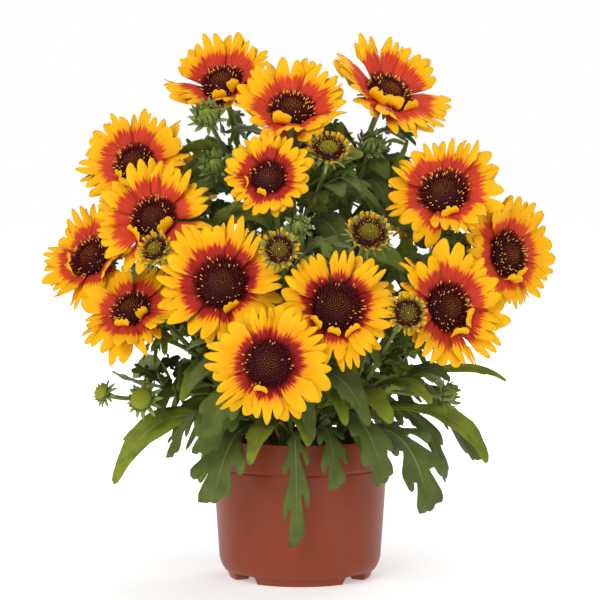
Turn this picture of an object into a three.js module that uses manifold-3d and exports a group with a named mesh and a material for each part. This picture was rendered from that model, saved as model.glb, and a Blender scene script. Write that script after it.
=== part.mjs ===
// A blanket flower in full bloom, growing in a round plastic nursery pot.
// Millimetres, +Z up. The origin is the middle of the pot's underside and -Y is the front.
// Compass bearings are degrees: 0 is the front, 90 is +X, 180 is the back. Pitch is degrees above level.
import * as THREE from 'three';
import { mergeVertices } from 'three/addons/utils/BufferGeometryUtils.js';
import Module from 'manifold-3d';

// ---------- driving dimensions ----------
const TOUCH_GAP = 0.3; // left between pieces that touch
const FUSE_TOLERANCE = 0.03; // detail finer than this is smoothed off where pieces are joined
const POT = {
  height: 105,
  rimRadius: 65,
  rimBand: 22, // height of the collar under the lip
  bandStep: 1.6, // how far the collar stands out of the wall
  baseRadius: 60,
  chamfer: 16, // height over which the wall turns in to the foot
  footRadius: 53,
  footHeight: 6,
  footWidth: 10,
  floorRise: 1.5, // of the floor's top and underside, above and below the foot's top
  wall: 1.6,
  padRadius: 14, // round pad in the middle of the underside
  sides: 22,
  notchBearings: [45, 135, 225, 315], // of the drain notches between the feet
  notchWidth: 17,
  notchDepth: 16,
};
const SOIL = {
  top: 94,
  root: 14, // how deep the stems stand in it
  holeRadius: 3.4,
  holeDepth: 26,
  slack: 0.7, // from the pot's wall
  relief: 1.4,
  sides: 11,
};
const STEM = { radius: 2.1, sideRadius: 1.5, sides: 5, stepLength: 42, rise: 34 };
const HEAD = {
  plate: 0.8, // half thickness of the plate that the rays spring from
  rib: 0.6, // half thickness of a ray along its middle
  bractRib: 0.4, // the same of a green bract
  closedRib: 0.7, // and where bracts or short rays spring from a closed head
  neck: 9, // from the plate down to where the stem flares into the green cup
  rayArch: 1.3,
  rays: 16,
  rayHalf: 0.178, // half width of a ray as a share of the ray circle's radius
  rayRoot: 0.8, // where the rays part, as a share of the disc's radius
  upperLift: 5, // degrees that every other ray stands above the bloom's cup
  lowerDrop: 3,
  dome: 0.42, // height of an open disc as a share of its radius
  domeRise: 0.9, // that the disc rises as the rays under its edge do, in mm per mm of their slope
  domeSides: 10,
  floret: 1.2, // relief of the florets
  shoulder: 0.66, // radius and height of the ring that rounds a closed head, as shares of its own
  shoulderHeight: 0.74,
};
const LEAF = {
  rib: 0.7, // half thickness along the midrib
  petiole: 0.9,
  sunk: 0.1, // how far past the middle of its stem a leaf's root reaches
  fold: 0.18, // rise of the edges over the midrib
  handle: 0.8, // how far out the midrib's arc is pulled, as a share of its span
  spacing: 5, // between the points at which a leaf's clearance is tested
  clear: 5.2, // from a leaf's tested points to the middle of a stem
  clearLeaf: 4.8, // and to those of another leaf
  ownRoot: 0.24, // share of a leaf that may lie close to its own stem
  canopy: 132, // the furthest that a leaf set by rule reaches from the pot's axis
  tries: 17, // of places for a leaf before it is left out
  swing: 13,
  drop: 12,
};

// What a leaf keeps clear of, besides the stems and the other leaves.
const CLEAR = { head: 12, rays: 4, view: 70, ground: 9, rim: 4, soil: 5 };

// ---------- the flower heads ----------
// at: middle of the ray plate. ray, disc: radii. cup: degrees that the rays rise out of their plane.
const bloom = (name, at, bearing, pitch, ray, disc, cup) =>
  ({ kind: 'bloom', name, at, bearing, pitch, ray, disc, cup });
const young = (name, at, bearing, pitch, disc) =>
  ({ kind: 'young', name, at, bearing, pitch, ray: disc + 6, disc, cup: 48 });
const button = (name, at, bearing, pitch, disc) =>
  ({ kind: 'button', name, at, bearing, pitch, ray: disc + 4, disc, cup: 0 });
const bud = (name, at, bearing, pitch, disc) =>
  ({ kind: 'bud', name, at, bearing, pitch, ray: disc + 4, disc, cup: 0 });

// Each stem: a leader from the soil to its first head, and side branches that leave it at share `fork`.
const STEMS = [
  { name: 'stem_top_left', root: [-11, 9], heads: [
    bloom('bloom_01', [-58, 12, 369], -16, 42, 49, 17, 34),
    { ...bud('bud_01', [-67, -34, 342], -12, 32, 10), fork: 0.72 },
    { ...bud('bud_05', [-62, -30, 306], -20, 30, 9), fork: 0.6 }] },
  { name: 'stem_top', root: [0, -2], heads: [
    bloom('bloom_02', [-6, -34, 345], 0, 42, 47, 17, 38),
    { ...young('young_01', [20, -72, 316], 4, 42, 10), fork: 0.62 }] },
  { name: 'stem_top_right', root: [11, 9], heads: [
    bloom('bloom_03', [63, -6, 362], 32, 37, 53, 18, 28),
    { ...bud('bud_04', [52, -12, 322], 10, 40, 9), fork: 0.7 }] },
  { name: 'stem_left_high', root: [-21, 0], heads: [
    bloom('bloom_04', [-122, -6, 310], -20, 32, 47, 15.5, 21),
    { ...bloom('bloom_05', [-104, -64, 267], -12, 27, 48, 17, 26), fork: 0.5 }] },
  { name: 'stem_left', root: [-25, -14], heads: [
    bloom('bloom_08', [-152, -22, 239], -34, 30, 47, 17, 24),
    { ...bloom('bloom_09', [-118, -72, 202], -24, 42, 41, 15, 9), fork: 0.5 },
    { ...button('button_01', [-114, -52, 137], -20, 14, 10), fork: 0.36 },
    { ...button('button_02', [-143, -34, 141], -42, 20, 6.5), fork: 0.3 }] },
  { name: 'stem_front_left', root: [-11, -14], heads: [
    bloom('bloom_06', [-22, -84, 296], -8, 20, 35, 13.5, 26),
    { ...bloom('bloom_10', [-54, -112, 222], -4, 19, 50.5, 19.5, 24), fork: 0.42 },
    { ...young('young_05', [-100, -106, 246], -30, 30, 8), fork: 0.36 }] },
  { name: 'stem_front', root: [-5, -27], heads: [
    bloom('bloom_11', [-21, -152, 170], -4, 6, 45, 17.5, 5),
    { ...young('young_03', [-14, -130, 246.5], -4, 10, 8.5), fork: 0.34 }] },
  { name: 'stem_front_mid', root: [9, -19], heads: [
    bloom('bloom_12', [25, -127, 207], 8, 14, 45, 19, 20),
    { ...young('young_02', [48, -100, 257], 8, 30, 10.5), fork: 0.44 },
    { ...bud('bud_06', [-1, -108, 262], -6, 26, 7), fork: 0.4 }] },
  { name: 'stem_right_high', root: [21, 0], heads: [
    bloom('bloom_07', [106, -58, 282], -15, 30, 48, 19, 27),
    { ...bloom('bloom_14', [150, -34, 243], 40, 6, 49, 18, 20), fork: 0.5 }] },
  { name: 'stem_right', root: [24, -15], heads: [
    bloom('bloom_13', [103, -92, 205], 31, 11, 48, 18, 27),
    { ...young('young_04', [73.5, -131.5, 203], 4, 10, 8.5), fork: 0.4 },
    { ...bud('bud_08', [107, -52, 140], 62, 4, 8), fork: 0.36 }] },
  { name: 'stem_back_left', root: [-13, 24], heads: [
    bloom('bloom_15', [-88, 84, 286], -142, 34, 43, 17.5, 18),
    { ...bloom('bloom_16', [-62, 132, 206], -162, 14, 42, 17, 6), fork: 0.42 },
    { ...bud('bud_07', [-128, 62, 196], -110, 18, 9), fork: 0.3 }] },
  { name: 'stem_back_right', root: [13, 24], heads: [
    bloom('bloom_17', [8, 96, 312], 178, 42, 43, 17.5, 20),
    { ...bloom('bloom_18', [92, 84, 276], 138, 30, 43, 17.5, 14), fork: 0.55 },
    { ...bloom('bloom_19', [40, 140, 212], 168, 14, 42, 17, 6), fork: 0.4 },
    { ...young('young_06', [118, 66, 196], 112, 18, 9), fork: 0.3 }] },
];

// Leaves set by eye. at: share of the leader's length. tip: where the leaf ends. Pitch and roll in degrees,
// half width in mm. Roll turns the right-hand edge up.
const leaf = (stem, at, tip, pitch, roll, half, edge) => ({ stem, at, tip, pitch, roll, half, edge });
const PLACED_LEAVES = [
  leaf('stem_front_left', 0.12, [-66, -88, 67], 44, -14, 19, 'lobed'),
  leaf('stem_right', 0.14, [96, -70, 60], 42, 24, 19, 'lobed'),
  leaf('stem_front', 0.17, [-6, -82, 34], 32, 14, 9, 'lobed'),
  leaf('stem_left', 0.14, [-137, -48, 76], 34, -50, 11, 'plain'),
  leaf('stem_front_mid', 0.16, [26, -88, 76], 36, -10, 10, 'lobed'),
  leaf('stem_front_mid', 0.2, [62, -84, 78], 38, 14, 13, 'lobed'),
  leaf('stem_front', 0.21, [-36, -92, 92], 36, -14, 10, 'plain'),
  leaf('stem_left', 0.2, [-99, -66, 98], 30, -40, 10, 'lobed'),
  leaf('stem_left', 0.1, [-84, -52, 76], 50, -20, 8, 'plain'),
  leaf('stem_right', 0.2, [120, -20, 84], 40, 44, 12, 'lobed'),
  leaf('stem_right', 0.26, [138, -32, 92], 30, 50, 9, 'plain'),
  leaf('stem_front', 0.26, [6, -94, 108], 36, -8, 8, 'plain'),
  leaf('stem_left', 0.3, [-139, -30, 158], 30, -46, 11, 'lobed'),
  leaf('stem_left_high', 0.26, [-83, -60, 128], 40, -30, 11, 'plain'),
  leaf('stem_front_mid', 0.34, [32, -112, 122], 40, 0, 10, 'plain'),
  leaf('stem_right', 0.36, [153, -30, 148], 30, 50, 5, 'plain'),
  leaf('stem_right', 0.3, [93, -84, 137], 36, 30, 6, 'plain'),
  leaf('stem_front_mid', 0.26, [64, -96, 124], 40, 10, 10, 'plain'),
];
// Leaves set by rule on every leader: long and lobed at the foot, short and plain higher up.
const RULE_LEAVES = { perStem: 6, first: 0.16, last: 0.76, turn: 137.5, spread: 100, roll: [18, 52] };

// ---------- small helpers ----------
const rad = THREE.MathUtils.degToRad;
const vec = (x, y, z) => new THREE.Vector3(x, y, z);
const between = (low, high, share) => low + (high - low) * share;
const heading = (bearing, pitch) => vec(
  Math.sin(rad(bearing)) * Math.cos(rad(pitch)),
  -Math.cos(rad(bearing)) * Math.cos(rad(pitch)),
  Math.sin(rad(pitch)));

// A repeatable stream of numbers from 0 to 1.
function dice(seed) {
  let state = seed >>> 0;
  return () => {
    state = (Math.imul(state, 1664525) + 1013904223) >>> 0;
    return state / 4294967296;
  };
}

const wasm = await Module();
wasm.setup();

function toSolid(geometry) {
  const bare = geometry.clone();
  bare.deleteAttribute('normal');
  bare.deleteAttribute('uv');
  const merged = mergeVertices(bare, 1e-3);
  return new wasm.Manifold(new wasm.Mesh({
    numProp: 3,
    vertProperties: merged.attributes.position.array,
    triVerts: new Uint32Array(merged.index.array),
  }));
}

// Joins solids into one body: slivers along the joins go, hollows that joining sealed are filled,
// and loose scraps are dropped.
function fuse(solids) {
  const largest = (solid) => solid.decompose()
    .reduce((best, part) => (part.volume() > best.volume() ? part : best));
  const joined = largest(wasm.Manifold.union(solids).simplify(FUSE_TOLERANCE));
  return largest(toSolid(toGeometry(joined)));
}

function toGeometry(solid) {
  const mesh = solid.getMesh();
  const geometry = new THREE.BufferGeometry();
  geometry.setAttribute('position', new THREE.BufferAttribute(new Float32Array(mesh.vertProperties), 3));
  geometry.setIndex(new THREE.BufferAttribute(new Uint32Array(mesh.triVerts), 1));
  geometry.computeVertexNormals();
  return geometry;
}

function indexed(points, faces) {
  const geometry = new THREE.BufferGeometry();
  geometry.setAttribute('position', new THREE.Float32BufferAttribute(points.flat(), 3));
  geometry.setIndex(faces.flat());
  geometry.computeVertexNormals();
  return geometry;
}

// ---------- materials ----------
const finish = (color, roughness) => new THREE.MeshStandardMaterial({ color, roughness, metalness: 0 });
const MATERIAL = {
  pot: finish(0xa4543a, 0.42),
  soil: finish(0x33251c, 0.95),
  ray: finish(0xf6b416, 0.55),
  disc: finish(0x3f1216, 0.8),
  young: finish(0xb9a52a, 0.7),
  button: finish(0xa3ad3a, 0.7),
  green: finish(0x4f6e2e, 0.6),
};

// ---------- pot ----------
function potGeometry() {
  const { height, rimRadius, rimBand, bandStep, baseRadius, footRadius, footHeight, wall, padRadius } = POT;
  const underBand = height - rimBand;
  const floor = footHeight + POT.floorRise;
  const vault = footHeight - POT.floorRise;
  const profile = [
    [0, 0], [padRadius, 0], [padRadius + 2, vault], [footRadius - POT.footWidth - 2, vault],
    [footRadius - POT.footWidth, 0], [footRadius, 0], [footRadius + 2, footHeight],
    [baseRadius - 1.5, footHeight + POT.chamfer / 2], [baseRadius, footHeight + POT.chamfer],
    [rimRadius - bandStep, underBand], [rimRadius - bandStep / 3, underBand + bandStep],
    [rimRadius, height - 1], [rimRadius - 1, height], [rimRadius - wall - 0.6, height - 1],
    [rimRadius - bandStep - wall, underBand], [baseRadius - wall, footHeight + POT.chamfer],
    [baseRadius - footHeight, floor], [0, floor],
  ].map(([r, z]) => new THREE.Vector2(r, z));
  const lathe = new THREE.LatheGeometry(profile, POT.sides);
  lathe.rotateX(Math.PI / 2);
  let solid = toSolid(lathe);
  for (const bearing of POT.notchBearings) {
    const notch = new THREE.BoxGeometry(POT.notchWidth, POT.notchDepth, 2 * footHeight);
    notch.translate(0, 1 - footRadius, 0);
    notch.rotateZ(rad(bearing));
    solid = solid.subtract(toSolid(notch));
  }
  return toGeometry(solid);
}

// ---------- soil ----------
function soilGeometry(stems) {
  const floor = POT.footHeight + POT.floorRise + TOUCH_GAP;
  const wallTop = POT.rimRadius - POT.bandStep - POT.wall - SOIL.slack;
  const wallFoot = POT.baseRadius - POT.wall - SOIL.slack;
  const profile = [
    [0, floor], [wallFoot - POT.footHeight, floor], [wallFoot, POT.footHeight + POT.chamfer],
    [wallTop, POT.height - POT.rimBand], [wallTop, SOIL.top], [wallTop * 0.6, SOIL.top], [0, SOIL.top],
  ].map(([r, z]) => new THREE.Vector2(r, z));
  const lathe = new THREE.LatheGeometry(profile, SOIL.sides);
  lathe.rotateX(Math.PI / 2);
  let solid = toSolid(lathe).warp((point) => {
    if (point[2] < SOIL.top - 0.01) return;
    point[2] += SOIL.relief * Math.sin(point[0] * 0.31 + 1) * Math.cos(point[1] * 0.27);
  });
  // Each stem stands in a plain hole that leans the way the stem starts.
  for (const { curves } of stems) {
    const foot = curves[0].curve.getPoint(0);
    const lean = curves[0].curve.getPointAt(1 / stemSteps(curves[0].curve)).sub(foot).normalize();
    const below = TOUCH_GAP + STEM.radius * Math.hypot(lean.x, lean.y);
    const hole = new THREE.CylinderGeometry(SOIL.holeRadius, SOIL.holeRadius, SOIL.holeDepth, STEM.sides);
    hole.translate(0, SOIL.holeDepth / 2 - below, 0);
    hole.applyQuaternion(new THREE.Quaternion().setFromUnitVectors(vec(0, 1, 0), lean));
    hole.translate(foot.x, foot.y, foot.z);
    solid = solid.subtract(toSolid(hole));
  }
  return toGeometry(solid);
}

// ---------- flower heads, each in its own frame: +Z is the way it faces ----------
// A ring of petals or bracts cut out of one plate. Each petal is a fan round its own midrib, alike on both
// faces, and the two faces meet in its edge. Returns its points, its faces and the open loop left below.
function rosette(petals, hub, top, dome = null) {
  const points = [[0, 0, top]];
  const faces = [];
  const add = (...point) => points.push(point) - 1;
  const count = petals.length;
  const valleyAngle = (i) => {
    const before = petals[(i + count - 1) % count].angle - (i === 0 ? 2 * Math.PI : 0);
    return (petals[i].angle + before) / 2;
  };
  const valley = petals.map((_, i) => add(hub * Math.cos(valleyAngle(i)), hub * Math.sin(valleyAngle(i)), 0));
  const above = [];
  const below = [];
  petals.forEach((petal, i) => {
    const [cos, sin] = [Math.cos(petal.angle), Math.sin(petal.angle)];
    const on = (share, width, lift = 0) => {
      const r = hub + share * (petal.reach - hub);
      const w = width * petal.half;
      const sag = petal.droop * share * share + petal.arch * width * width * share;
      const z = petal.slope * (r - hub) - sag + lift;
      return add(r * cos - w * sin, r * sin + w * cos, z);
    };
    const rootTop = on(0, 0, petal.rib);
    const rootBottom = on(0, 0, -petal.rib);
    const rim = petal.outline.map(([share, width]) => on(share, width));
    const loop = [valley[i], ...rim, valley[(i + 1) % count]];
    above.push(valley[i], rootTop);
    below.push({ id: valley[i], angle: valleyAngle(i) }, { id: rootBottom, angle: petal.angle });
    if (petal.ribAt) {
      const ribTop = on(petal.ribAt, 0, petal.arch * 0.5 + petal.rib);
      const ribBottom = on(petal.ribAt, 0, petal.arch * 0.5 - petal.rib);
      const after = (ring, k) => ring[(k + 1) % ring.length];
      [rootTop, ...loop].forEach((a, k, ring) => faces.push([ribTop, a, after(ring, k)]));
      [rootBottom, ...loop].forEach((a, k, ring) => faces.push([ribBottom, after(ring, k), a]));
    } else {
      for (let k = 0; k + 1 < loop.length; k++) {
        faces.push([rootTop, loop[k], loop[k + 1]], [rootBottom, loop[k + 1], loop[k]]);
      }
    }
  });
  if (!dome) {
    above.forEach((a, k) => faces.push([0, a, above[(k + 1) % above.length]]));
    return { points, faces, below };
  }
  // A domed button in the middle: one ring of points over the petals' ribs, then the top.
  points[0][2] = dome;
  const shoulder = hub * HEAD.shoulder;
  const ring = petals.map(({ angle }) => add(
    shoulder * Math.cos(angle), shoulder * Math.sin(angle), dome * HEAD.shoulderHeight));
  petals.forEach((_, i) => {
    const next = (i + 1) % count;
    const rootTop = above[2 * i + 1];
    faces.push([ring[i], valley[i], rootTop], [ring[i], rootTop, valley[next]]);
    faces.push([ring[i], valley[next], ring[next]], [0, ring[i], ring[next]]);
  });
  return { points, faces, below };
}

// Closes a rosette's open loop to a point on its axis.
function closeBelow({ points, faces, below }, depth) {
  const apex = points.push([0, 0, depth]) - 1;
  below.forEach(({ id }, k) => faces.push([apex, below[(k + 1) % below.length].id, id]));
  return indexed(points, faces);
}

// Outlines from one side of the root round the tip to the other: shares of the length and of the half width.
const RAY = [[0.76, -1], [1, 0.1], [0.8, 1]];
const TOOTHED_RAY = [[0.93, -0.9], [0.86, -0.36], [1, 0], [0.86, 0.36], [0.93, 0.9]];
const SHORT_RAY = [[0.9, -0.9], [1, 0], [0.9, 0.9]];
const BRACT = [[1, 0]];

function rayGeometry(head, seed) {
  const roll = dice(seed);
  const petals = Array.from({ length: HEAD.rays }, (_, i) => {
    const upper = i % 2 === 0;
    const cup = rad(head.cup + (upper ? HEAD.upperLift : -HEAD.lowerDrop) + (roll() - 0.5) * 5);
    return {
      angle: ((i + (roll() - 0.5) * 0.2) / HEAD.rays) * 2 * Math.PI,
      reach: head.ray * Math.cos(cup) * (upper ? 0.95 : 1) * (0.94 + roll() * 0.1),
      half: head.ray * HEAD.rayHalf * (0.94 + roll() * 0.12),
      slope: Math.tan(cup),
      droop: head.ray * (0.05 + roll() * 0.08),
      arch: HEAD.rayArch,
      rib: HEAD.rib,
      ribAt: 0.6,
      outline: upper ? TOOTHED_RAY : RAY,
    };
  });
  return closeBelow(rosette(petals, head.disc * HEAD.rayRoot, HEAD.plate), -HEAD.plate);
}

// A dome of florets: rings of points, raised and sunk by turns.
function domeGeometry(radius, base, height) {
  const sides = HEAD.domeSides;
  const rings = [[0.84, 0], [1, 0.34], [0.84, 0.76], [0.56, 0.97], [0.27, 1.04]];
  const points = [];
  rings.forEach(([r, z], k) => {
    for (let i = 0; i < sides; i++) {
      const turn = ((i + 0.5 * (k % 2)) / sides) * 2 * Math.PI;
      const bump = k === 0 ? 0 : HEAD.floret * ((i + k) % 2 ? 1 : -0.4);
      const across = (radius + bump) * r;
      points.push([across * Math.cos(turn), across * Math.sin(turn), base + (height + bump) * z]);
    }
  });
  const under = points.push([0, 0, base]) - 1;
  const top = points.push([0, 0, base + height * 1.02]) - 1;
  const faces = [];
  const id = (k, i) => k * sides + (i + sides) % sides;
  for (let i = 0; i < sides; i++) {
    faces.push([under, id(0, i + 1), id(0, i)]);
    faces.push([top, id(rings.length - 1, i), id(rings.length - 1, i + 1)]);
    for (let k = 0; k + 1 < rings.length; k++) {
      const [a, b, c, d] = [id(k, i), id(k, i + 1), id(k + 1, i), id(k + 1, i + 1)];
      if (k % 2 === 0) faces.push([a, b, c], [b, d, c]);
      else faces.push([a, d, c], [a, b, d]);
    }
  }
  return indexed(points, faces);
}

function bracts(count, reach, rest, seed) {
  const roll = dice(seed);
  return Array.from({ length: count }, (_, i) => ({
    angle: ((i + (roll() - 0.5) * 0.3) / count) * 2 * Math.PI,
    reach: reach * (0.88 + roll() * 0.24),
    half: 0, droop: 0, arch: 0, rib: HEAD.bractRib, outline: BRACT, ...rest,
  }));
}

// The green cup of bracts that holds a head, and for a bud the bracts that close over it. Its loop below is
// left open for the stem.
function cupOf(head, seed) {
  const { kind, disc } = head;
  if (kind === 'bud') {
    return rosette(bracts(7, disc * 1.3, { slope: 1.6 }, seed), disc * 0.78, HEAD.closedRib, disc * 0.9);
  }
  const cup = kind === 'bloom'
    ? rosette(bracts(8, disc * 1.28, { slope: -0.42, droop: 1 }, seed), disc * 0.62, -HEAD.bractRib)
    : rosette(bracts(8, disc * 1.75, { slope: 0.2, droop: 2.5 }, seed), disc * 0.7, -HEAD.bractRib);
  cup.points.forEach((point) => { point[2] -= HEAD.plate + HEAD.bractRib + TOUCH_GAP; });
  return cup;
}

// A half-open head: a button of closed florets inside a ring of short rays.
function youngGeometry(head, seed) {
  const short = bracts(10, head.ray, { half: head.disc * 0.24, slope: 0.75, outline: SHORT_RAY }, seed);
  return closeBelow(rosette(short, head.disc * 0.86, HEAD.closedRib, head.disc * 0.55), -HEAD.plate);
}

// A head whose rays haven't shown yet: the button alone, edged with points.
function buttonGeometry(head, seed) {
  const points = bracts(9, head.disc * 1.12, { slope: 0.9 }, seed);
  return closeBelow(rosette(points, head.disc * 0.9, HEAD.closedRib, head.disc * 0.8), -HEAD.plate);
}

// ---------- stems ----------
const frameOf = (head) => {
  const way = heading(head.bearing, head.pitch);
  const turn = new THREE.Quaternion().setFromUnitVectors(vec(0, 0, 1), way);
  return { at: vec(...head.at), way, turn };
};

const stemSteps = (curve) => Math.max(3, Math.round(curve.getLength() / STEM.stepLength));

// The point at a share of a stem's length, on the straight runs between its rings.
function onStem(curve, share) {
  const steps = stemSteps(curve);
  const before = Math.min(steps - 1, Math.floor(share * steps));
  return curve.getPointAt(before / steps).lerp(curve.getPointAt((before + 1) / steps), share * steps - before);
}

function stemCurves(stem) {
  const [leader, ...sides] = stem.heads;
  const end = (head) => {
    const { at, way } = frameOf(head);
    return at.clone().addScaledVector(way, -HEAD.neck);
  };
  const reachBack = (from, to) => Math.min(60, from.distanceTo(to) * 0.34);
  const start = vec(stem.root[0], stem.root[1], SOIL.top - SOIL.root);
  const tip = end(leader);
  const main = new THREE.CubicBezierCurve3(
    start, start.clone().add(vec(0, 0, SOIL.root + STEM.rise)),
    tip.clone().addScaledVector(frameOf(leader).way, -reachBack(start, tip)), tip);
  const curves = [{ head: leader, curve: main }];
  for (const head of sides) {
    const from = onStem(main, head.fork);
    const to = end(head);
    const pull = reachBack(from, to);
    const leave = main.getTangentAt(head.fork).add(to.clone().sub(from).normalize()).normalize();
    curves.push({ head, curve: new THREE.CubicBezierCurve3(
      from, from.clone().addScaledVector(leave, pull * 0.8),
      to.clone().addScaledVector(frameOf(head).way, -pull), to) });
  }
  return curves;
}

// A stem and the green cup that it flares into, as one skin.
function stalkGeometry(curve, radius, head, seed) {
  const { at, turn } = frameOf(head);
  const { points, faces, below } = cupOf(head, seed);
  const placed = points.map((point) => vec(...point).applyQuaternion(turn).add(at).toArray());
  const steps = stemSteps(curve);
  let across = vec(1, 0, 0).applyQuaternion(turn);
  let upper = below;
  for (let k = steps; k >= 0; k--) {
    const along = curve.getTangentAt(k / steps);
    across = across.clone().addScaledVector(along, -across.dot(along)).normalize();
    const side = along.clone().cross(across);
    const middle = curve.getPointAt(k / steps);
    const ring = Array.from({ length: STEM.sides }, (_, i) => {
      const angle = (i / STEM.sides) * 2 * Math.PI;
      const point = middle.clone().addScaledVector(across, radius * Math.cos(angle))
        .addScaledVector(side, radius * Math.sin(angle));
      return { id: placed.push(point.toArray()) - 1, angle };
    });
    faces.push(...band(ring, upper));
    upper = ring;
  }
  for (let i = 1; i + 1 < upper.length; i++) faces.push([upper[0].id, upper[i + 1].id, upper[i].id]);
  return indexed(placed, faces);
}

// The strip of triangles between two rings of points round the same axis.
function band(lower, upper) {
  const faces = [];
  const angle = (ring, k) => ring[k % ring.length].angle + 2 * Math.PI * Math.floor(k / ring.length);
  const id = (ring, k) => ring[k % ring.length].id;
  let [i, j] = [0, 0];
  while (i < lower.length || j < upper.length) {
    const onLower = j === upper.length || (i < lower.length && angle(lower, i + 1) <= angle(upper, j + 1));
    faces.push([id(lower, i), onLower ? id(lower, i + 1) : id(upper, j + 1), id(upper, j)]);
    if (onLower) i += 1;
    else j += 1;
  }
  return faces;
}

// ---------- leaves ----------
// A leaf's midrib leaves its stem at `pitch` towards the tip's bearing and comes down on the tip in one arc.
function midrib(leafRow, root) {
  const tip = vec(...leafRow.tip);
  const span = tip.clone().sub(root);
  const out = vec(span.x, span.y, 0).normalize();
  const pitch = rad(leafRow.pitch);
  const lift = out.clone().multiplyScalar(Math.cos(pitch)).add(vec(0, 0, Math.sin(pitch)));
  const handle = root.clone().addScaledVector(lift, span.length() * LEAF.handle);
  const arc = new THREE.QuadraticBezierCurve3(root, handle, tip);
  const level = vec(-out.y, out.x, 0);
  const roll = rad(leafRow.roll);
  return (share) => {
    const along = arc.getTangent(Math.max(0, share));
    const at = share < 0 ? root.clone().addScaledVector(along, share * span.length()) : arc.getPoint(share);
    const up = along.cross(level);
    const side = level.clone().multiplyScalar(Math.cos(roll)).addScaledVector(up, Math.sin(roll));
    const over = up.multiplyScalar(Math.cos(roll)).addScaledVector(level, -Math.sin(roll));
    return { at, side, over };
  };
}

// Half of each edge from root to tip, and the places of the points along the midrib.
const EDGES = {
  lobed: { rim: [[0.26, 0.2], [0.45, 0.82], [0.5, 0.34], [0.7, 1], [0.74, 0.46], [0.9, 0.56]],
    ribs: [0.24, 0.46, 0.72] },
  plain: { rim: [[0.3, 0.56], [0.66, 1], [0.9, 0.6]], ribs: [0.34, 0.72] },
  small: { rim: [[0.4, 0.9], [0.74, 1]], ribs: [0.5] },
};

const leafLength = (leafRow, root) => root.distanceTo(vec(...leafRow.tip)) * 1.15;

function leafGeometry(leafRow, root) {
  const place = midrib(leafRow, root);
  const { rim, ribs } = EDGES[leafRow.edge];
  const sunk = -LEAF.sunk / leafLength(leafRow, root);
  const points = [];
  const on = (share, width, lift) => {
    const { at, side, over } = place(share);
    const point = at.clone().addScaledVector(side, width)
      .addScaledVector(over, Math.abs(width) * LEAF.fold + lift);
    return points.push(point.toArray()) - 1;
  };
  const tip = on(1, 0, 0);
  const chain = [-1, 1].map((hand) => [
    on(sunk, hand * LEAF.petiole, 0), ...rim.map(([s, w]) => on(s, hand * w * leafRow.half, 0)), tip]);
  const edgeShares = [sunk, ...rim.map(([s]) => s), 1];
  const ribShares = [sunk, ...ribs, 1];
  const spine = [1, -1].map((face) => [
    on(sunk, 0, face * LEAF.petiole * 0.7), ...ribs.map((s) => on(s, 0, face * LEAF.rib)), tip]);
  const faces = [];
  // Both faces of each half are the same strip between the spine and the edge.
  chain.forEach((border, hand) => spine.forEach((ridge, face) => {
    let [i, j] = [0, 0];
    while (i + 1 < ridge.length || j + 1 < border.length) {
      const alongEdge = i + 1 === ridge.length
        || (j + 1 < border.length && edgeShares[j + 1] + edgeShares[j] <= ribShares[i + 1] + ribShares[i]);
      const triangle = [ridge[i], border[j], alongEdge ? border[j + 1] : ridge[i + 1]];
      if (alongEdge) j += 1;
      else i += 1;
      if (new Set(triangle).size === 3) faces.push((hand + face) % 2 === 0 ? triangle : triangle.reverse());
    }
  }));
  faces.push([spine[0][0], spine[1][0], chain[0][0]], [spine[0][0], chain[1][0], spine[1][0]]);
  return indexed(points, faces);
}

// Points spread over a leaf, for its clearance.
function leafSamples(leafRow, root) {
  const place = midrib(leafRow, root);
  const rows = Math.ceil(leafLength(leafRow, root) / LEAF.spacing);
  const found = [];
  for (let k = 1; k <= rows; k++) {
    const share = k / rows;
    const { at, side } = place(share);
    const half = leafRow.half * (share < 0.24 ? 0.2 : 1) * (share > 0.9 ? 0.5 : 1);
    const across = Math.max(1, Math.ceil((2 * half) / LEAF.spacing));
    for (let j = 0; j <= across; j++) {
      found.push(at.clone().addScaledVector(side, half * ((2 * j) / across - 1)));
    }
  }
  return found;
}

// Whether a point lies in the space that a head needs: its own bowl, and the view that it opens on.
const inHead = (point, head, frame) => {
  const away = point.clone().sub(frame.at);
  const along = away.dot(frame.way);
  const across = Math.sqrt(Math.max(0, away.lengthSq() - along * along));
  const bowl = across * Math.tan(rad(head.cup));
  if (Math.abs(along - bowl / 2) < CLEAR.head + bowl / 2 && across < head.ray + CLEAR.rays) return true;
  return along > 0 && along < CLEAR.view && across < head.ray * 0.8 && head.kind !== 'bud';
};
// Whether a point lies in or too near the pot's wall, the soil or the ground.
const inPot = (point) => {
  const across = Math.hypot(point.x, point.y);
  if (point.z < CLEAR.ground) return true;
  if (point.z > POT.height + CLEAR.rim) return false;
  return across < POT.rimRadius + 3 && (across > POT.rimRadius - 8 || point.z < SOIL.top + CLEAR.soil);
};

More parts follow.
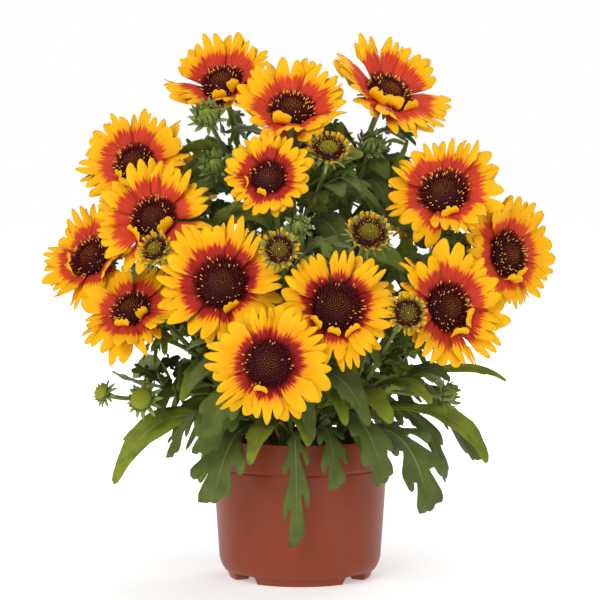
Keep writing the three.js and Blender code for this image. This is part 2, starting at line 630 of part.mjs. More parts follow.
function leavesFor(stems) {
  const heads = stems.flatMap(({ curves }) => curves.map(({ head }) => ({ head, frame: frameOf(head) })));
  const stemPoints = stems.flatMap(({ name, curves }) => curves.flatMap(({ curve }) => {
    const steps = Math.ceil(curve.getLength() / LEAF.spacing);
    return Array.from({ length: steps + 1 }, (_, k) => ({ name, at: onStem(curve, k / steps) }));
  }));
  // A leaf keeps clear of all that belongs to other stems, and past its root also of its own stem.
  const blocked = (samples, name) => samples.some((at, k) => {
    const past = k > samples.length * LEAF.ownRoot;
    return inPot(at) || heads.some(({ head, frame }) => inHead(at, head, frame))
      || stemPoints.some((other) => (other.name !== name || past)
        && other.at.distanceToSquared(at) < LEAF.clear ** 2)
      || taken.some((other) => (other.name !== name || (past && other.outer))
        && other.at.distanceToSquared(at) < LEAF.clearLeaf ** 2);
  });
  const taken = [];
  const kept = new Map(stems.map(({ name }) => [name, []]));
  const wanted = PLACED_LEAVES.map((row) => ({ ...row, on: 0 }));
  stems.forEach(({ name, curves }, index) => {
    const roll = dice(900 + index);
    const [tx, ty] = curves[0].head.at;
    const outward = THREE.MathUtils.radToDeg(Math.atan2(tx, -ty));
    for (let i = 0; i < RULE_LEAVES.perStem; i++) {
      const share = i / (RULE_LEAVES.perStem - 1);
      wanted.push({
        stem: name, on: 0,
        at: RULE_LEAVES.first + (RULE_LEAVES.last - RULE_LEAVES.first) * share,
        bearing: outward + RULE_LEAVES.spread * (2 * ((i * RULE_LEAVES.turn / 360 + roll()) % 1) - 1),
        reach: 92 - 38 * share + roll() * 12,
        pitch: 40 + roll() * 20,
        fall: 26 - 30 * share + roll() * 16,
        half: 15 - 4 * share,
        roll: between(...RULE_LEAVES.roll, roll()),
        edge: share < 0.45 ? 'lobed' : 'plain',
      });
    }
    curves.slice(1).forEach((_, k) => wanted.push({
      stem: name, on: k + 1, at: 0.45 + roll() * 0.2, bearing: outward + (roll() - 0.5) * 200,
      reach: 40 + roll() * 14, pitch: 40 + roll() * 20, fall: roll() * 16, half: 7,
      roll: between(...RULE_LEAVES.roll, roll()), edge: 'small',
    }));
  });
  for (const row of wanted) {
    const { curves } = stems.find(({ name }) => name === row.stem);
    const root = onStem(curves[row.on].curve, row.at);
    for (let k = 0; k < LEAF.tries; k++) {
      const swing = LEAF.swing * Math.ceil(k / 2) * (k % 2 ? 1 : -1);
      const drop = LEAF.drop * ((k % 3) - (k > 0 ? 1 : 0));
      const tip = row.tip
        ? vec(...row.tip).add(vec(swing / 4, 0, drop / 2))
        : root.clone().addScaledVector(heading(row.bearing + swing, 0), row.reach)
          .add(vec(0, 0, -row.fall - drop));
      // A leaf that is set by rule turns its face away from the middle of the plant.
      const turned = row.tip ? row.roll : row.roll * Math.sign(tip.x * -tip.y);
      const bent = { ...row, tip: tip.toArray(), roll: turned };
      if (!row.tip && Math.hypot(tip.x, tip.y) > LEAF.canopy) continue;
      const samples = leafSamples(bent, root);
      if (blocked(samples, row.stem)) continue;
      samples.forEach((at, n) => taken.push({ at, name: row.stem, outer: n > samples.length * LEAF.ownRoot }));
      kept.get(row.stem).push({ row: bent, root });
      break;
    }
  }
  return kept;
}

// ---------- assembly ----------
function meshOf(name, geometry, material) {
  const mesh = new THREE.Mesh(geometry, material);
  mesh.name = name;
  return mesh;
}

const plant = new THREE.Group();
plant.add(meshOf('pot', potGeometry(), MATERIAL.pot));
const stems = STEMS.map((stem) => ({ name: stem.name, curves: stemCurves(stem) }));
plant.add(meshOf('soil', soilGeometry(stems), MATERIAL.soil));
const leaves = leavesFor(stems);
let seed = 1;
for (const { name, curves } of stems) {
  const parts = [];
  curves.forEach(({ head, curve }, k) => {
    const { at, turn } = frameOf(head);
    seed += 1;
    parts.push(toSolid(stalkGeometry(curve, k === 0 ? STEM.radius : STEM.sideRadius, head, seed)));
    if (head.kind === 'bud') return;
    const group = new THREE.Group();
    group.position.copy(at);
    group.quaternion.copy(turn);
    if (head.kind === 'bloom') {
      const seat = HEAD.plate + TOUCH_GAP + HEAD.domeRise * Math.tan(rad(head.cup + HEAD.upperLift));
      const dome = domeGeometry(head.disc, seat, head.disc * HEAD.dome);
      group.add(meshOf(`${head.name}_rays`, rayGeometry(head, seed * 7), MATERIAL.ray));
      group.add(meshOf(`${head.name}_disc`, dome, MATERIAL.disc));
    } else {
      const make = head.kind === 'young' ? youngGeometry : buttonGeometry;
      group.add(meshOf(head.name, make(head, seed * 7), MATERIAL[head.kind]));
    }
    plant.add(group);
  });
  leaves.get(name).forEach(({ row, root }) => parts.push(toSolid(leafGeometry(row, root))));
  plant.add(meshOf(name, toGeometry(fuse(parts)), MATERIAL.green));
}

export default plant;
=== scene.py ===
# A blanket flower in full bloom, in the round plastic pot that it was raised in.
# Shapes are worked out in millimetres, +Z up, with the front at -Y. A finished mesh is scaled to metres.
import math

import bpy
import numpy as np
from mathutils import Matrix, Vector


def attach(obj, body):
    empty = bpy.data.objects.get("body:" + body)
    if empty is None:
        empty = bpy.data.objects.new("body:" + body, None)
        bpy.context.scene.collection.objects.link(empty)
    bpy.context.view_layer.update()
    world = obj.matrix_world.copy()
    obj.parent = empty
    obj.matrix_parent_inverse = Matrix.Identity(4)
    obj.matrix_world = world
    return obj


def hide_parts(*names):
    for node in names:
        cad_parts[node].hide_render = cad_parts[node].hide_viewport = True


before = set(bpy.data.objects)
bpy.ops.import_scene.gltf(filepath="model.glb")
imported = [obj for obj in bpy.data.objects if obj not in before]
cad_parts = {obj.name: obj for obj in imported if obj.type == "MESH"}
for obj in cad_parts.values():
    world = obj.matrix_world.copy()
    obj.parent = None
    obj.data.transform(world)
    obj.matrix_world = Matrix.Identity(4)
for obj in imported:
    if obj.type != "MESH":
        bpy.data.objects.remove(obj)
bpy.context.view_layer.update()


# ------------------------------------------------------------------------------
# Pot: a thin-walled round nursery pot, injection moulded in terracotta-brown polypropylene.
# A collar stiffens its lip, the wall turns in to a foot ring, and four notches in that ring let water out.
# It is one skin, turned from a rounded outline, with the ring's lower edge lifted at the notches.
# ------------------------------------------------------------------------------
POT_HEIGHT, POT_RIM, POT_BASE, POT_WALL = 105, 66, 60.4, 1.8
COLLAR_HEIGHT, COLLAR_STEP = 22, 0.9
FOOT_RADIUS, FOOT_WIDTH, FOOT_HEIGHT, FOOT_CHAMFER = 53, 10, 6, 6
FLOOR_RISE, PAD_RADIUS = 1.5, 14
NOTCH_BEARINGS, NOTCH_HALF, NOTCH_EDGE = (41, 139, 221, 319), 9.5, 3.5  # degrees


def rounded(corners, radius, steps=3):
    """An outline with each corner rounded, but for the first and the last."""
    outline = [tuple(corners[0])]
    for before, corner, after in zip(corners, corners[1:], corners[2:]):
        corner = Vector(corner)
        back, ahead = Vector(before) - corner, Vector(after) - corner
        cut = min(radius, back.length * 0.45, ahead.length * 0.45)
        start, end = corner + back.normalized() * cut, corner + ahead.normalized() * cut
        for k in range(steps + 1):
            t = k / steps
            outline.append(tuple(start * (1 - t) ** 2 + corner * (2 * t * (1 - t)) + end * t ** 2))
    return outline + [tuple(corners[-1])]


def turned(name, outline, sectors, shaped=lambda r, turn, z: z):
    """A closed skin turned about Z from an outline that starts and ends on the axis. shaped gives the height
    of each of its points."""
    points = [(0, 0, outline[0][1]), (0, 0, outline[-1][1])]
    faces = []
    for r, z in outline[1:-1]:
        for k in range(sectors):
            turn = 2 * math.pi * k / sectors
            points.append((r * math.cos(turn), r * math.sin(turn), shaped(r, turn, z)))
    rings = len(outline) - 2
    for k in range(sectors):
        after = (k + 1) % sectors
        faces.append((0, 2 + after, 2 + k))
        faces.append((1, 2 + (rings - 1) * sectors + k, 2 + (rings - 1) * sectors + after))
        for j in range(rings - 1):
            low, high = 2 + j * sectors, 2 + (j + 1) * sectors
            faces.append((low + k, low + after, high + after, high + k))
    mesh = bpy.data.meshes.new(name)
    mesh.from_pydata(points, [], faces)
    mesh.shade_smooth()
    return mesh


def in_scene(name, data):
    thing = bpy.data.objects.new(name, data)
    bpy.context.scene.collection.objects.link(thing)
    return thing


def in_place(name, mesh, slot, *nodes):
    """A finished piece from a mesh in millimetres. It stands for these nodes of the frame."""
    mesh.transform(Matrix.Scale(0.001, 4))
    piece = in_scene(name, mesh)
    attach(piece, "root")
    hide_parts(*nodes)


class Wire:
    """A value on its way through a node tree. Arithmetic on wires adds the nodes that work it out."""

    def __init__(self, tree, socket):
        self.tree, self.socket = tree, socket

    def worked(self, operation, *values):
        kinds = [v.socket.type if isinstance(v, Wire) else type(v) for v in values]
        kind = "ShaderNodeVectorMath" if "VECTOR" in kinds or tuple in kinds else "ShaderNodeMath"
        return put(self.tree, kind, *values, operation=operation)

    def __rsub__(self, other):
        return self.worked("SUBTRACT", other, self)

    def __mul__(self, other):
        if self.socket.type == "VECTOR" and not isinstance(other, tuple):
            return put(self.tree, "ShaderNodeVectorMath", operation="SCALE",
                       named={"Vector": self, "Scale": other})
        return self.worked("MULTIPLY", self, other)

    def __neg__(self):
        return self * -1

    def dot(self, other):
        return put(self.tree, "ShaderNodeVectorMath", self, other, operation="DOT_PRODUCT", output="Value")

    def axis(self, name):
        return put(self.tree, "ShaderNodeSeparateXYZ", self, output=name)

    def ramp(self, low, high):
        """0 up to low, 1 from high on, and a smooth rise between them."""
        return put(self.tree, "ShaderNodeMapRange", self, low, high, 0.0, 1.0,
                   interpolation_type="SMOOTHSTEP")


# least gives the value or the bound, whichever is higher, and most gives whichever is lower.
for method, operation in dict(
        __add__="ADD", __radd__="ADD", __sub__="SUBTRACT", __truediv__="DIVIDE", __pow__="POWER", sine="SINE",
        cosine="COSINE", size="ABSOLUTE", least="MAXIMUM", most="MINIMUM", above="GREATER_THAN",
        below="LESS_THAN", whole="FLOOR", part="FRACT", cross="CROSS_PRODUCT", unit="NORMALIZE").items():
    setattr(Wire, method, lambda wire, *others, operation=operation: wire.worked(operation, wire, *others))


def put(tree, kind, *values, named=None, output=None, **settings):
    """Adds a node with these settings, feeds its inputs in their order or by name, and returns an output."""
    node = tree.nodes.new(kind)
    for key, value in settings.items():
        setattr(node, key, value)
    live = [socket for socket in node.inputs if socket.enabled]
    feeds = list(zip(live, values))
    for key, value in (named or {}).items():
        feeds.append((next(socket for socket in live if socket.name == key), value))
    for socket, value in feeds:
        if isinstance(value, Wire):
            tree.links.new(value.socket, socket)
        elif socket.type == "RGBA":
            socket.default_value = (*value, 1.0)[:4]
        else:
            socket.default_value = value
    outputs = [socket for socket in node.outputs if socket.enabled and output in (None, socket.name)]
    return Wire(tree, outputs[0])


def xyz(tree, x, y, z):
    return put(tree, "ShaderNodeCombineXYZ", x, y, z)


def finish(name, roughness, gloss=0.22):
    """A material, and its tree and shader for wiring."""
    material = bpy.data.materials.new(name)
    material.use_nodes = True
    shader = material.node_tree.nodes["Principled BSDF"]
    shader.inputs["Roughness"].default_value = roughness
    shader.inputs["Specular IOR Level"].default_value = gloss
    return material, material.node_tree, shader


def feed(shader, **wires):
    """Wires values into a shader's sockets, named with _ for a space."""
    for key, wire in wires.items():
        wire.tree.links.new(wire.socket, shader.inputs[key.replace("_", " ")])


def blend(tree, share, first, second):
    return put(tree, "ShaderNodeMix", share, first, second, data_type="RGBA")


def noise(tree, place, scale, detail=2.0):
    return put(tree, "ShaderNodeTexNoise", named={"Vector": place, "Scale": scale, "Detail": detail})


def bump(tree, height, distance):
    return put(tree, "ShaderNodeBump", named={"Height": height, "Distance": distance, "Strength": 1.0})


def object_place(tree):
    return put(tree, "ShaderNodeTexCoord", output="Object")


def painted(tree, *names):
    """What a mesh stores for its material under each of these names."""
    return [put(tree, "ShaderNodeAttribute", attribute_name=name, output="Fac") for name in names]


terracotta, tree, shader = finish("terracotta polypropylene", 0.38, 0.2)
place = object_place(tree)
flow = noise(tree, place * (40.0, 40.0, 7.0), 1.0)
mottle = noise(tree, place, 210.0, 3.0)
scuffed = place.axis("Z").ramp(0.03, 0.0) * noise(tree, place, 90.0, 4.0)
colour = blend(tree, flow * 0.6 + mottle * 0.4, (0.218, 0.036, 0.0095), (0.265, 0.047, 0.0135))
feed(shader, Base_Color=blend(tree, scuffed * 0.4, colour, (0.27, 0.075, 0.036)),
     Roughness=mottle * 0.10 + flow * 0.08 + 0.30,
     Normal=bump(tree, mottle, 0.00006))
shader.inputs["Coat Weight"].default_value = 0.05
shader.inputs["Coat Roughness"].default_value = 0.3

under_collar = POT_HEIGHT - COLLAR_HEIGHT
pot_floor, vault = FOOT_HEIGHT + FLOOR_RISE, FOOT_HEIGHT - FLOOR_RISE
pot_outline = rounded([
    (0, 0), (PAD_RADIUS, 0), (PAD_RADIUS + 2, vault), (FOOT_RADIUS - FOOT_WIDTH - 2, vault),
    (FOOT_RADIUS - FOOT_WIDTH, 0), (FOOT_RADIUS, 0), (FOOT_RADIUS + 1.6, FOOT_HEIGHT - 1),
    (FOOT_RADIUS + 3.4, FOOT_HEIGHT - 0.4), (POT_BASE - 1.6, FOOT_HEIGHT + FOOT_CHAMFER - 2.5),
    (POT_BASE, FOOT_HEIGHT + FOOT_CHAMFER + 2),
    (POT_RIM - COLLAR_STEP, under_collar - 1.4), (POT_RIM - COLLAR_STEP - 0.5, under_collar - 0.5),
    (POT_RIM - COLLAR_STEP - 0.4, under_collar + 0.3), (POT_RIM - 0.3, under_collar + 1.2),
    (POT_RIM - 0.1, POT_HEIGHT - 3), (POT_RIM, POT_HEIGHT), (POT_RIM - POT_WALL, POT_HEIGHT),
    (POT_RIM - COLLAR_STEP - POT_WALL, under_collar), (POT_BASE - POT_WALL, FOOT_HEIGHT + FOOT_CHAMFER + 2),
    (POT_BASE - FOOT_HEIGHT, pot_floor), (0, pot_floor)], 0.7)


def notched(r, turn, z):
    """The height of a point of the pot, lifted where the foot ring has a drain notch."""
    if z > FOOT_HEIGHT or r < FOOT_RADIUS - FOOT_WIDTH - 3:
        return z
    away = min(abs((math.degrees(turn) - bearing + 180) % 360 - 180) for bearing in NOTCH_BEARINGS)
    share = min(1, max(0, (NOTCH_HALF + NOTCH_EDGE - away) / NOTCH_EDGE))
    return z + (FOOT_HEIGHT + 0.2 - z) * share


pot = turned("pot_shell", pot_outline, 160, notched)
pot.materials.append(terracotta)
in_place("pot_shell", pot, "terracotta_plastic", "pot")


# ------------------------------------------------------------------------------
# Potting soil: dark peat with bark crumbs and a few white grains of perlite, pressed in to just under the
# rim. Its body is turned with a rough top, and crumbs are strewn over that by a rule.
# ------------------------------------------------------------------------------
SOIL_TOP, SOIL_SLACK = 94, 1.0
SOIL_RINGS = (0.98, 0.9, 0.8, 0.68, 0.55, 0.42, 0.28, 0.14)  # of its top, as shares of its radius
CRUMBS, SMALLEST_CRUMB, LARGEST_CRUMB = 0.09, 0.9, 3.0  # on a square mm, and across
DARK_CRUMBS = 0.95  # their share, and the rest are perlite


def growth_rule(name, **inputs):
    """A geometry tree with a named input for each size, and its inputs as wires."""
    tree = bpy.data.node_groups.new(name, "GeometryNodeTree")
    tree.interface.new_socket("Geometry", in_out="OUTPUT", socket_type="NodeSocketGeometry")
    tree.interface.new_socket("Geometry", in_out="INPUT", socket_type="NodeSocketGeometry")
    for label, kind in inputs.items():
        tree.interface.new_socket(label, in_out="INPUT", socket_type="NodeSocket" + kind)
    tree.interface.new_socket("Finish", in_out="INPUT", socket_type="NodeSocketMaterial")
    entry = tree.nodes.new("NodeGroupInput")
    return tree, {socket.name: Wire(tree, socket) for socket in entry.outputs if socket.name}


def end_rule(tree, geometry, material):
    """Makes what a tree grew real, and gives it its material."""
    real = put(tree, "GeometryNodeRealizeInstances", geometry)
    soft = put(tree, "GeometryNodeSetShadeSmooth", named={"Geometry": real, "Shade Smooth": True})
    done = put(tree, "GeometryNodeSetMaterial", named={"Geometry": soft, "Material": material})
    tree.links.new(done.socket, tree.nodes.new("NodeGroupOutput").inputs[0])


def grown(name, rule, start=None, thickness=0, **sizes):
    """The plain mesh that a rule makes of these sizes, as a skin of this thickness where one is given."""
    bed = in_scene(name, start or bpy.data.meshes.new(name))
    growth = bed.modifiers.new("growth", "NODES")
    growth.node_group = rule
    for item in rule.interface.items_tree:
        if item.in_out == "INPUT" and item.name in sizes:
            size = sizes[item.name]
            growth[item.identifier] = float(size) if item.socket_type == "NodeSocketFloat" else size
    if thickness:
        skin = bed.modifiers.new("skin", "SOLIDIFY")
        skin.thickness, skin.offset = thickness, 0
    mesh = bpy.data.meshes.new_from_object(bed.evaluated_get(bpy.context.evaluated_depsgraph_get()))
    bpy.data.objects.remove(bed)
    mesh.name = name
    return mesh


def dice(tree, low, high, number, seed, salt):
    """A number between low and high, drawn for each numbered thing, or a vector where these are vectors."""
    kind = "FLOAT_VECTOR" if isinstance(low, tuple) else "FLOAT"
    return put(tree, "FunctionNodeRandomValue", low, high, number, seed + salt, data_type=kind)


def stored(tree, geometry, name, value, kind="FLOAT"):
    return put(tree, "GeometryNodeStoreNamedAttribute", data_type=kind, domain="POINT",
               named={"Geometry": geometry, "Name": name, "Value": value})


def attribute(tree, name, kind="FLOAT"):
    return put(tree, "GeometryNodeInputNamedAttribute", name, data_type=kind)


def strewn_on(tree, mesh, density, seed, **more):
    """Random points on a mesh, so many on a square mm."""
    return put(tree, "GeometryNodeDistributePointsOnFaces", distribute_method="RANDOM",
               named={"Mesh": mesh, "Density": density, "Seed": seed, **more})


def planted(tree, points, thing, **more):
    """A copy of a thing on each of the points."""
    return put(tree, "GeometryNodeInstanceOnPoints", named={"Points": points, "Instance": thing, **more})


def merged(tree, *shapes):
    join = tree.nodes.new("GeometryNodeJoinGeometry")
    for shape in shapes:
        tree.links.new(shape.socket, join.inputs[0])
    return Wire(tree, join.outputs[0])


peat, tree, shader = finish("peat and bark", 0.95)
place = object_place(tree)
grain = noise(tree, place, 900.0, 4.0)
pale, = painted(tree, "perlite")
earth = blend(tree, grain, (0.012, 0.007, 0.004), (0.075, 0.042, 0.024))
feed(shader, Base_Color=blend(tree, pale, earth, (0.55, 0.52, 0.46)), Normal=bump(tree, grain, 0.0006))

crumb_rule, wires = growth_rule("crumbs", Density="Float", Smallest="Float", Largest="Float", Seed="Int")
on_top = put(crumb_rule, "GeometryNodeInputNormal").axis("Z").above(0.7)
strewn = strewn_on(crumb_rule, wires["Geometry"], wires["Density"], wires["Seed"], Selection=on_top)
number = put(crumb_rule, "GeometryNodeInputIndex")
white = dice(crumb_rule, 0.0, 1.0, number, wires["Seed"], 1).above(DARK_CRUMBS)
strewn = stored(crumb_rule, strewn, "perlite", white)
tilt = dice(crumb_rule, (0.0, 0.0, 0.0), (6.3, 6.3, 6.3), number, wires["Seed"], 2)
stretch = dice(crumb_rule, (0.5, 0.4, 0.3), (1.3, 0.9, 0.7), number, wires["Seed"], 3)
across = dice(crumb_rule, wires["Smallest"], wires["Largest"], number, wires["Seed"], 4)
lump = put(crumb_rule, "GeometryNodeMeshIcoSphere", 0.5, 1)
laid = planted(crumb_rule, strewn, lump, Rotation=tilt, Scale=stretch * across)
end_rule(crumb_rule, merged(crumb_rule, laid, wires["Geometry"]), wires["Finish"])

soil_wall = POT_RIM - COLLAR_STEP - POT_WALL - SOIL_SLACK
soil_foot = POT_BASE - POT_WALL - SOIL_SLACK
soil_floor = pot_floor + 0.3
soil_outline = [(0, soil_floor), (soil_foot - FOOT_HEIGHT, soil_floor),
                (soil_foot, FOOT_HEIGHT + FOOT_CHAMFER + 2), (soil_wall - 0.3, under_collar),
                (soil_wall, SOIL_TOP - 1.5)]
soil_outline += [(soil_wall * share, SOIL_TOP) for share in SOIL_RINGS] + [(0, SOIL_TOP)]


def rough(r, turn, z):
    """The height of a point of the soil, whose top is uneven."""
    if z < SOIL_TOP:
        return z
    x, y = r * math.cos(turn), r * math.sin(turn)
    broad, fine = math.sin(x * 0.31 + 1) * math.cos(y * 0.27), math.sin(x * 0.9) * math.sin(y * 1.1 + 2)
    return z + 1.4 * broad + 0.5 * fine


soil = grown("potting_soil", crumb_rule, turned("soil_body", soil_outline, 64, rough), Finish=peat, Seed=5,
             Density=CRUMBS, Smallest=SMALLEST_CRUMB, Largest=LARGEST_CRUMB)
in_place("potting_soil", soil, "potting_soil", "soil")


# ------------------------------------------------------------------------------
# Stalks: twelve round green stems rise from one root and branch to a flower head each. They are one piece
# with their leaves, and widen under each head to a green seat for its florets. Fine white hairs cover them.
# ------------------------------------------------------------------------------
SOIL_ROOT, STALK_RISE, STALK_STEP = 14, 34, 42  # depth in the soil, upright start, length between bends
STALK_RADIUS, BRANCH_RADIUS, STALK_WAIST = 2.2, 1.8, 0.12
STALK_BENT, NECK = 0.35, 9  # the share of its straight runs that a stalk shows, and its last run's length
SEAT = ((7, 0.08), (5, 0.3), (3.6, 0.62), (2.6, 0.88), (1.7, 1.0))  # mm under the head, share of its width


def bloom(name, at, bearing, pitch, ray, disc, cup, red, deep, fork=None):
    """An open head. at is the middle of its ray plate, ray and disc are radii, and cup the degrees that its
    rays rise. red is the share of a ray that is red, and deep says how dark that red is."""
    return dict(kind="bloom", name=name, at=at, bearing=bearing, pitch=pitch, ray=ray, disc=disc, cup=cup,
                red=red, deep=deep, fork=fork)


def closed(kind, name, at, bearing, pitch, disc, fork, beyond=4, cup=0):
    """A button or a bud, whose bracts reach this far beyond its disc."""
    return dict(kind=kind, name=name, at=at, bearing=bearing, pitch=pitch, ray=disc + beyond, disc=disc,
                cup=cup, fork=fork)


def young(*place):
    """A half-open head."""
    return closed("young", *place, 6, 48)


# Each stem: where it stands, the head on its leader, and heads on branches that leave it at a share `fork`.
STEMS = [
    ("stem_top_left", (-11, 9), [
        bloom("bloom_01", (-58, 12, 367), -16, 42, 48, 17, 34, 0.58, 0.25),
        closed("bud", "bud_01", (-67, -34, 342), -12, 32, 10, 0.72),
        closed("bud", "bud_05", (-62, -30, 306), -20, 30, 9, 0.6)]),
    ("stem_top", (0, -2), [
        bloom("bloom_02", (-6, -34, 345), 0, 42, 49.5, 17, 38, 0.58, 0.15),
        young("young_01", (20, -72, 316), 4, 42, 10, 0.62)]),
    ("stem_top_right", (11, 9), [
        bloom("bloom_03", (65, -6, 359), 32, 40, 54.5, 18, 28, 0.6, 0.12),
        closed("bud", "bud_04", (52, -12, 322), 10, 40, 9, 0.7)]),
    ("stem_left_high", (-21, 0), [
        bloom("bloom_04", (-122.5, -6, 308.5), -20, 32, 47, 15.5, 21, 0.5, 0.3),
        bloom("bloom_05", (-104, -64, 267), -12, 27, 48, 17, 26, 0.56, 0.2, 0.5)]),
    ("stem_left", (-25, -14), [
        bloom("bloom_08", (-152, -22, 238), -34, 30, 45.5, 17, 24, 0.5, 0.3),
        bloom("bloom_09", (-119.5, -72, 202), -24, 42, 42.5, 15, 9, 0.5, 0.45, 0.5),
        closed("button", "button_01", (-114, -52, 137), -20, 14, 10, 0.36),
        closed("button", "button_02", (-144.5, -34, 140), -42, 20, 7, 0.3)]),
    ("stem_front_left", (-11, -14), [
        bloom("bloom_06", (-22, -84, 296), -8, 20, 35, 13.5, 26, 0.52, 0.6),
        bloom("bloom_10", (-54, -112, 222), -4, 19, 50.5, 19.5, 24, 0.44, 0.7, 0.42),
        young("young_05", (-100, -106, 246), -30, 30, 8, 0.36)]),
    ("stem_front", (-5, -27), [
        bloom("bloom_11", (-21, -149.5, 170), -4, 6, 45, 17.5, 5, 0.36, 0.85),
        young("young_03", (-14, -130, 246.5), -4, 10, 8.5, 0.34)]),
    ("stem_front_mid", (9, -19), [
        bloom("bloom_12", (25, -127, 207), 8, 14, 45, 19, 20, 0.38, 0.8),
        young("young_02", (48, -100, 257), 8, 30, 10.5, 0.44),
        closed("bud", "bud_06", (-1, -108, 262), -6, 26, 7, 0.4)]),
    ("stem_right_high", (21, 0), [
        bloom("bloom_07", (103.5, -58, 285), -15, 30, 48, 19, 27, 0.55, 0.25),
        bloom("bloom_14", (150, -34, 241), 40, 6, 46.5, 18, 20, 0.5, 0.2, 0.5)]),
    ("stem_right", (24, -15), [
        bloom("bloom_13", (103, -92, 205), 27, 11, 49.5, 18, 27, 0.52, 0.35),
        young("young_04", (73.5, -131.5, 203), 4, 10, 8.5, 0.4),
        closed("bud", "bud_08", (107, -52, 140), 62, 4, 8, 0.36)]),
    ("stem_back_left", (-13, 24), [
        bloom("bloom_15", (-88, 84, 286), -142, 34, 43, 17.5, 18, 0.52, 0.3),
        bloom("bloom_16", (-62, 127.5, 206), -162, 14, 42, 17, 6, 0.42, 0.7, 0.42),
        closed("bud", "bud_07", (-128, 62, 196), -110, 18, 9, 0.3)]),
    ("stem_back_right", (13, 24), [
        bloom("bloom_17", (8, 96, 312), 178, 42, 43, 17.5, 20, 0.56, 0.2),
        bloom("bloom_18", (92, 84, 276), 138, 30, 43, 17.5, 14, 0.5, 0.4, 0.55),
        bloom("bloom_19", (40, 132.5, 212), 168, 14, 42, 17, 6, 0.4, 0.75, 0.4),
        young("young_06", (118, 66, 196), 112, 18, 9, 0.3)]),
]


def heading(bearing, pitch):
    b, p = math.radians(bearing), math.radians(pitch)
    return np.array([math.sin(b) * math.cos(p), -math.cos(b) * math.cos(p), math.sin(p)])


def facing(head):
    return heading(head["bearing"], head["pitch"])


def unit(vector):
    return vector / np.linalg.norm(vector)


class Arc:
    """A Bezier arc of three or four points. turn_share says where on it a share of its length lies."""
    STEPS = 200

    def __init__(self, *points):
        self.points = [np.asarray(point, float) for point in points]
        stops = [self.point(k / self.STEPS) for k in range(self.STEPS + 1)]
        steps = [np.linalg.norm(after - before) for before, after in zip(stops, stops[1:])]
        self.lengths = np.concatenate([[0], np.cumsum(steps)])
        self.length = self.lengths[-1]

    def point(self, t):
        order = len(self.points) - 1
        return sum(math.comb(order, k) * (1 - t) ** (order - k) * t ** k * point
                   for k, point in enumerate(self.points))

    def tangent(self, t):
        return unit(self.point(min(1, t + 0.0001)) - self.point(max(0, t - 0.0001)))

    def turn_share(self, share):
        far = share * self.length
        k = min(self.STEPS - 1, max(0, int(np.searchsorted(self.lengths, far, side="right")) - 1))
        return (k + (far - self.lengths[k]) / (self.lengths[k + 1] - self.lengths[k])) / self.STEPS


def stalk_steps(arc):
    return max(3, math.floor(arc.length / STALK_STEP + 0.5))


def on_stalk(arc, share):
    """The place at a share of a stalk, on the straight runs between its steps."""
    steps = stalk_steps(arc)
    before = min(steps - 1, math.floor(share * steps))
    low, high = (arc.point(arc.turn_share(k / steps)) for k in (before, before + 1))
    return low + (high - low) * (share * steps - before)


def stalk_arcs(root, heads):
    """The leader's arc and each branch's, with their heads."""
    def neck(head):
        return np.array(head["at"]) - NECK * facing(head)

    leader, *sides = heads
    start, tip = np.array([*root, SOIL_TOP - SOIL_ROOT], float), neck(leader)
    pull = min(60, np.linalg.norm(tip - start) * 0.34)
    main = Arc(start, start + (0, 0, SOIL_ROOT + STALK_RISE), tip - pull * facing(leader), tip)
    arcs = [(leader, main)]
    for head in sides:
        origin, end = on_stalk(main, head["fork"]), neck(head)
        pull = min(60, np.linalg.norm(end - origin) * 0.34)
        leave = unit(main.tangent(main.turn_share(head["fork"])) + unit(end - origin))
        arcs.append((head, Arc(origin, origin + leave * pull * 0.8, end - pull * facing(head), end)))
    return arcs


ARCS = {name: stalk_arcs(root, heads) for name, root, heads in STEMS}

stalk_skin, tree, shader = finish("hairy green stalk", 0.62)
place = object_place(tree)
ridges = noise(tree, place * (1.0, 1.0, 0.12), 1500.0)
tint = noise(tree, place, 60.0)
colour = blend(tree, tint, (0.150, 0.185, 0.038), (0.27, 0.31, 0.075))
hair, = painted(tree, "hair")
feed(shader, Base_Color=blend(tree, hair, colour, (0.46, 0.50, 0.28)), Normal=bump(tree, ridges, 0.0003))

stalk_rule, wires = growth_rule("stalks", Sides="Int")
line = put(stalk_rule, "GeometryNodeMeshToCurve", wires["Geometry"])
ring = put(stalk_rule, "GeometryNodeCurvePrimitiveCircle", wires["Sides"], named={"Radius": 1.0})
skin = put(stalk_rule, "GeometryNodeCurveToMesh", named={
    "Curve": line, "Profile Curve": ring, "Scale": attribute(stalk_rule, "girth"), "Fill Caps": True})
end_rule(stalk_rule, skin, wires["Finish"])

hair_rule, wires = growth_rule("hairs", Density="Float", Length="Float", Seed="Int")
feet = strewn_on(hair_rule, wires["Geometry"], wires["Density"], wires["Seed"])
upright = Wire(hair_rule, feet.socket.node.outputs["Rotation"])
number = put(hair_rule, "GeometryNodeInputIndex")
tilt = dice(hair_rule, (-0.6, -0.6, 0.0), (0.6, 0.6, 6.3), number, wires["Seed"], 1)
tilted = put(hair_rule, "FunctionNodeRotateRotation", upright, tilt, rotation_space="LOCAL")
length = dice(hair_rule, wires["Length"] * 0.6, wires["Length"] * 1.3, number, wires["Seed"], 2)
spike = put(hair_rule, "GeometryNodeMeshCone",
            named={"Vertices": 3, "Radius Top": 0.0, "Radius Bottom": 0.05, "Depth": 1.0})
hairs = planted(hair_rule, feet, spike, Rotation=tilted, Scale=xyz(hair_rule, 1.0, 1.0, length))
hairs = stored(hair_rule, put(hair_rule, "GeometryNodeRealizeInstances", hairs), "hair", 1.0)
end_rule(hair_rule, merged(hair_rule, hairs, wires["Geometry"]), wires["Finish"])


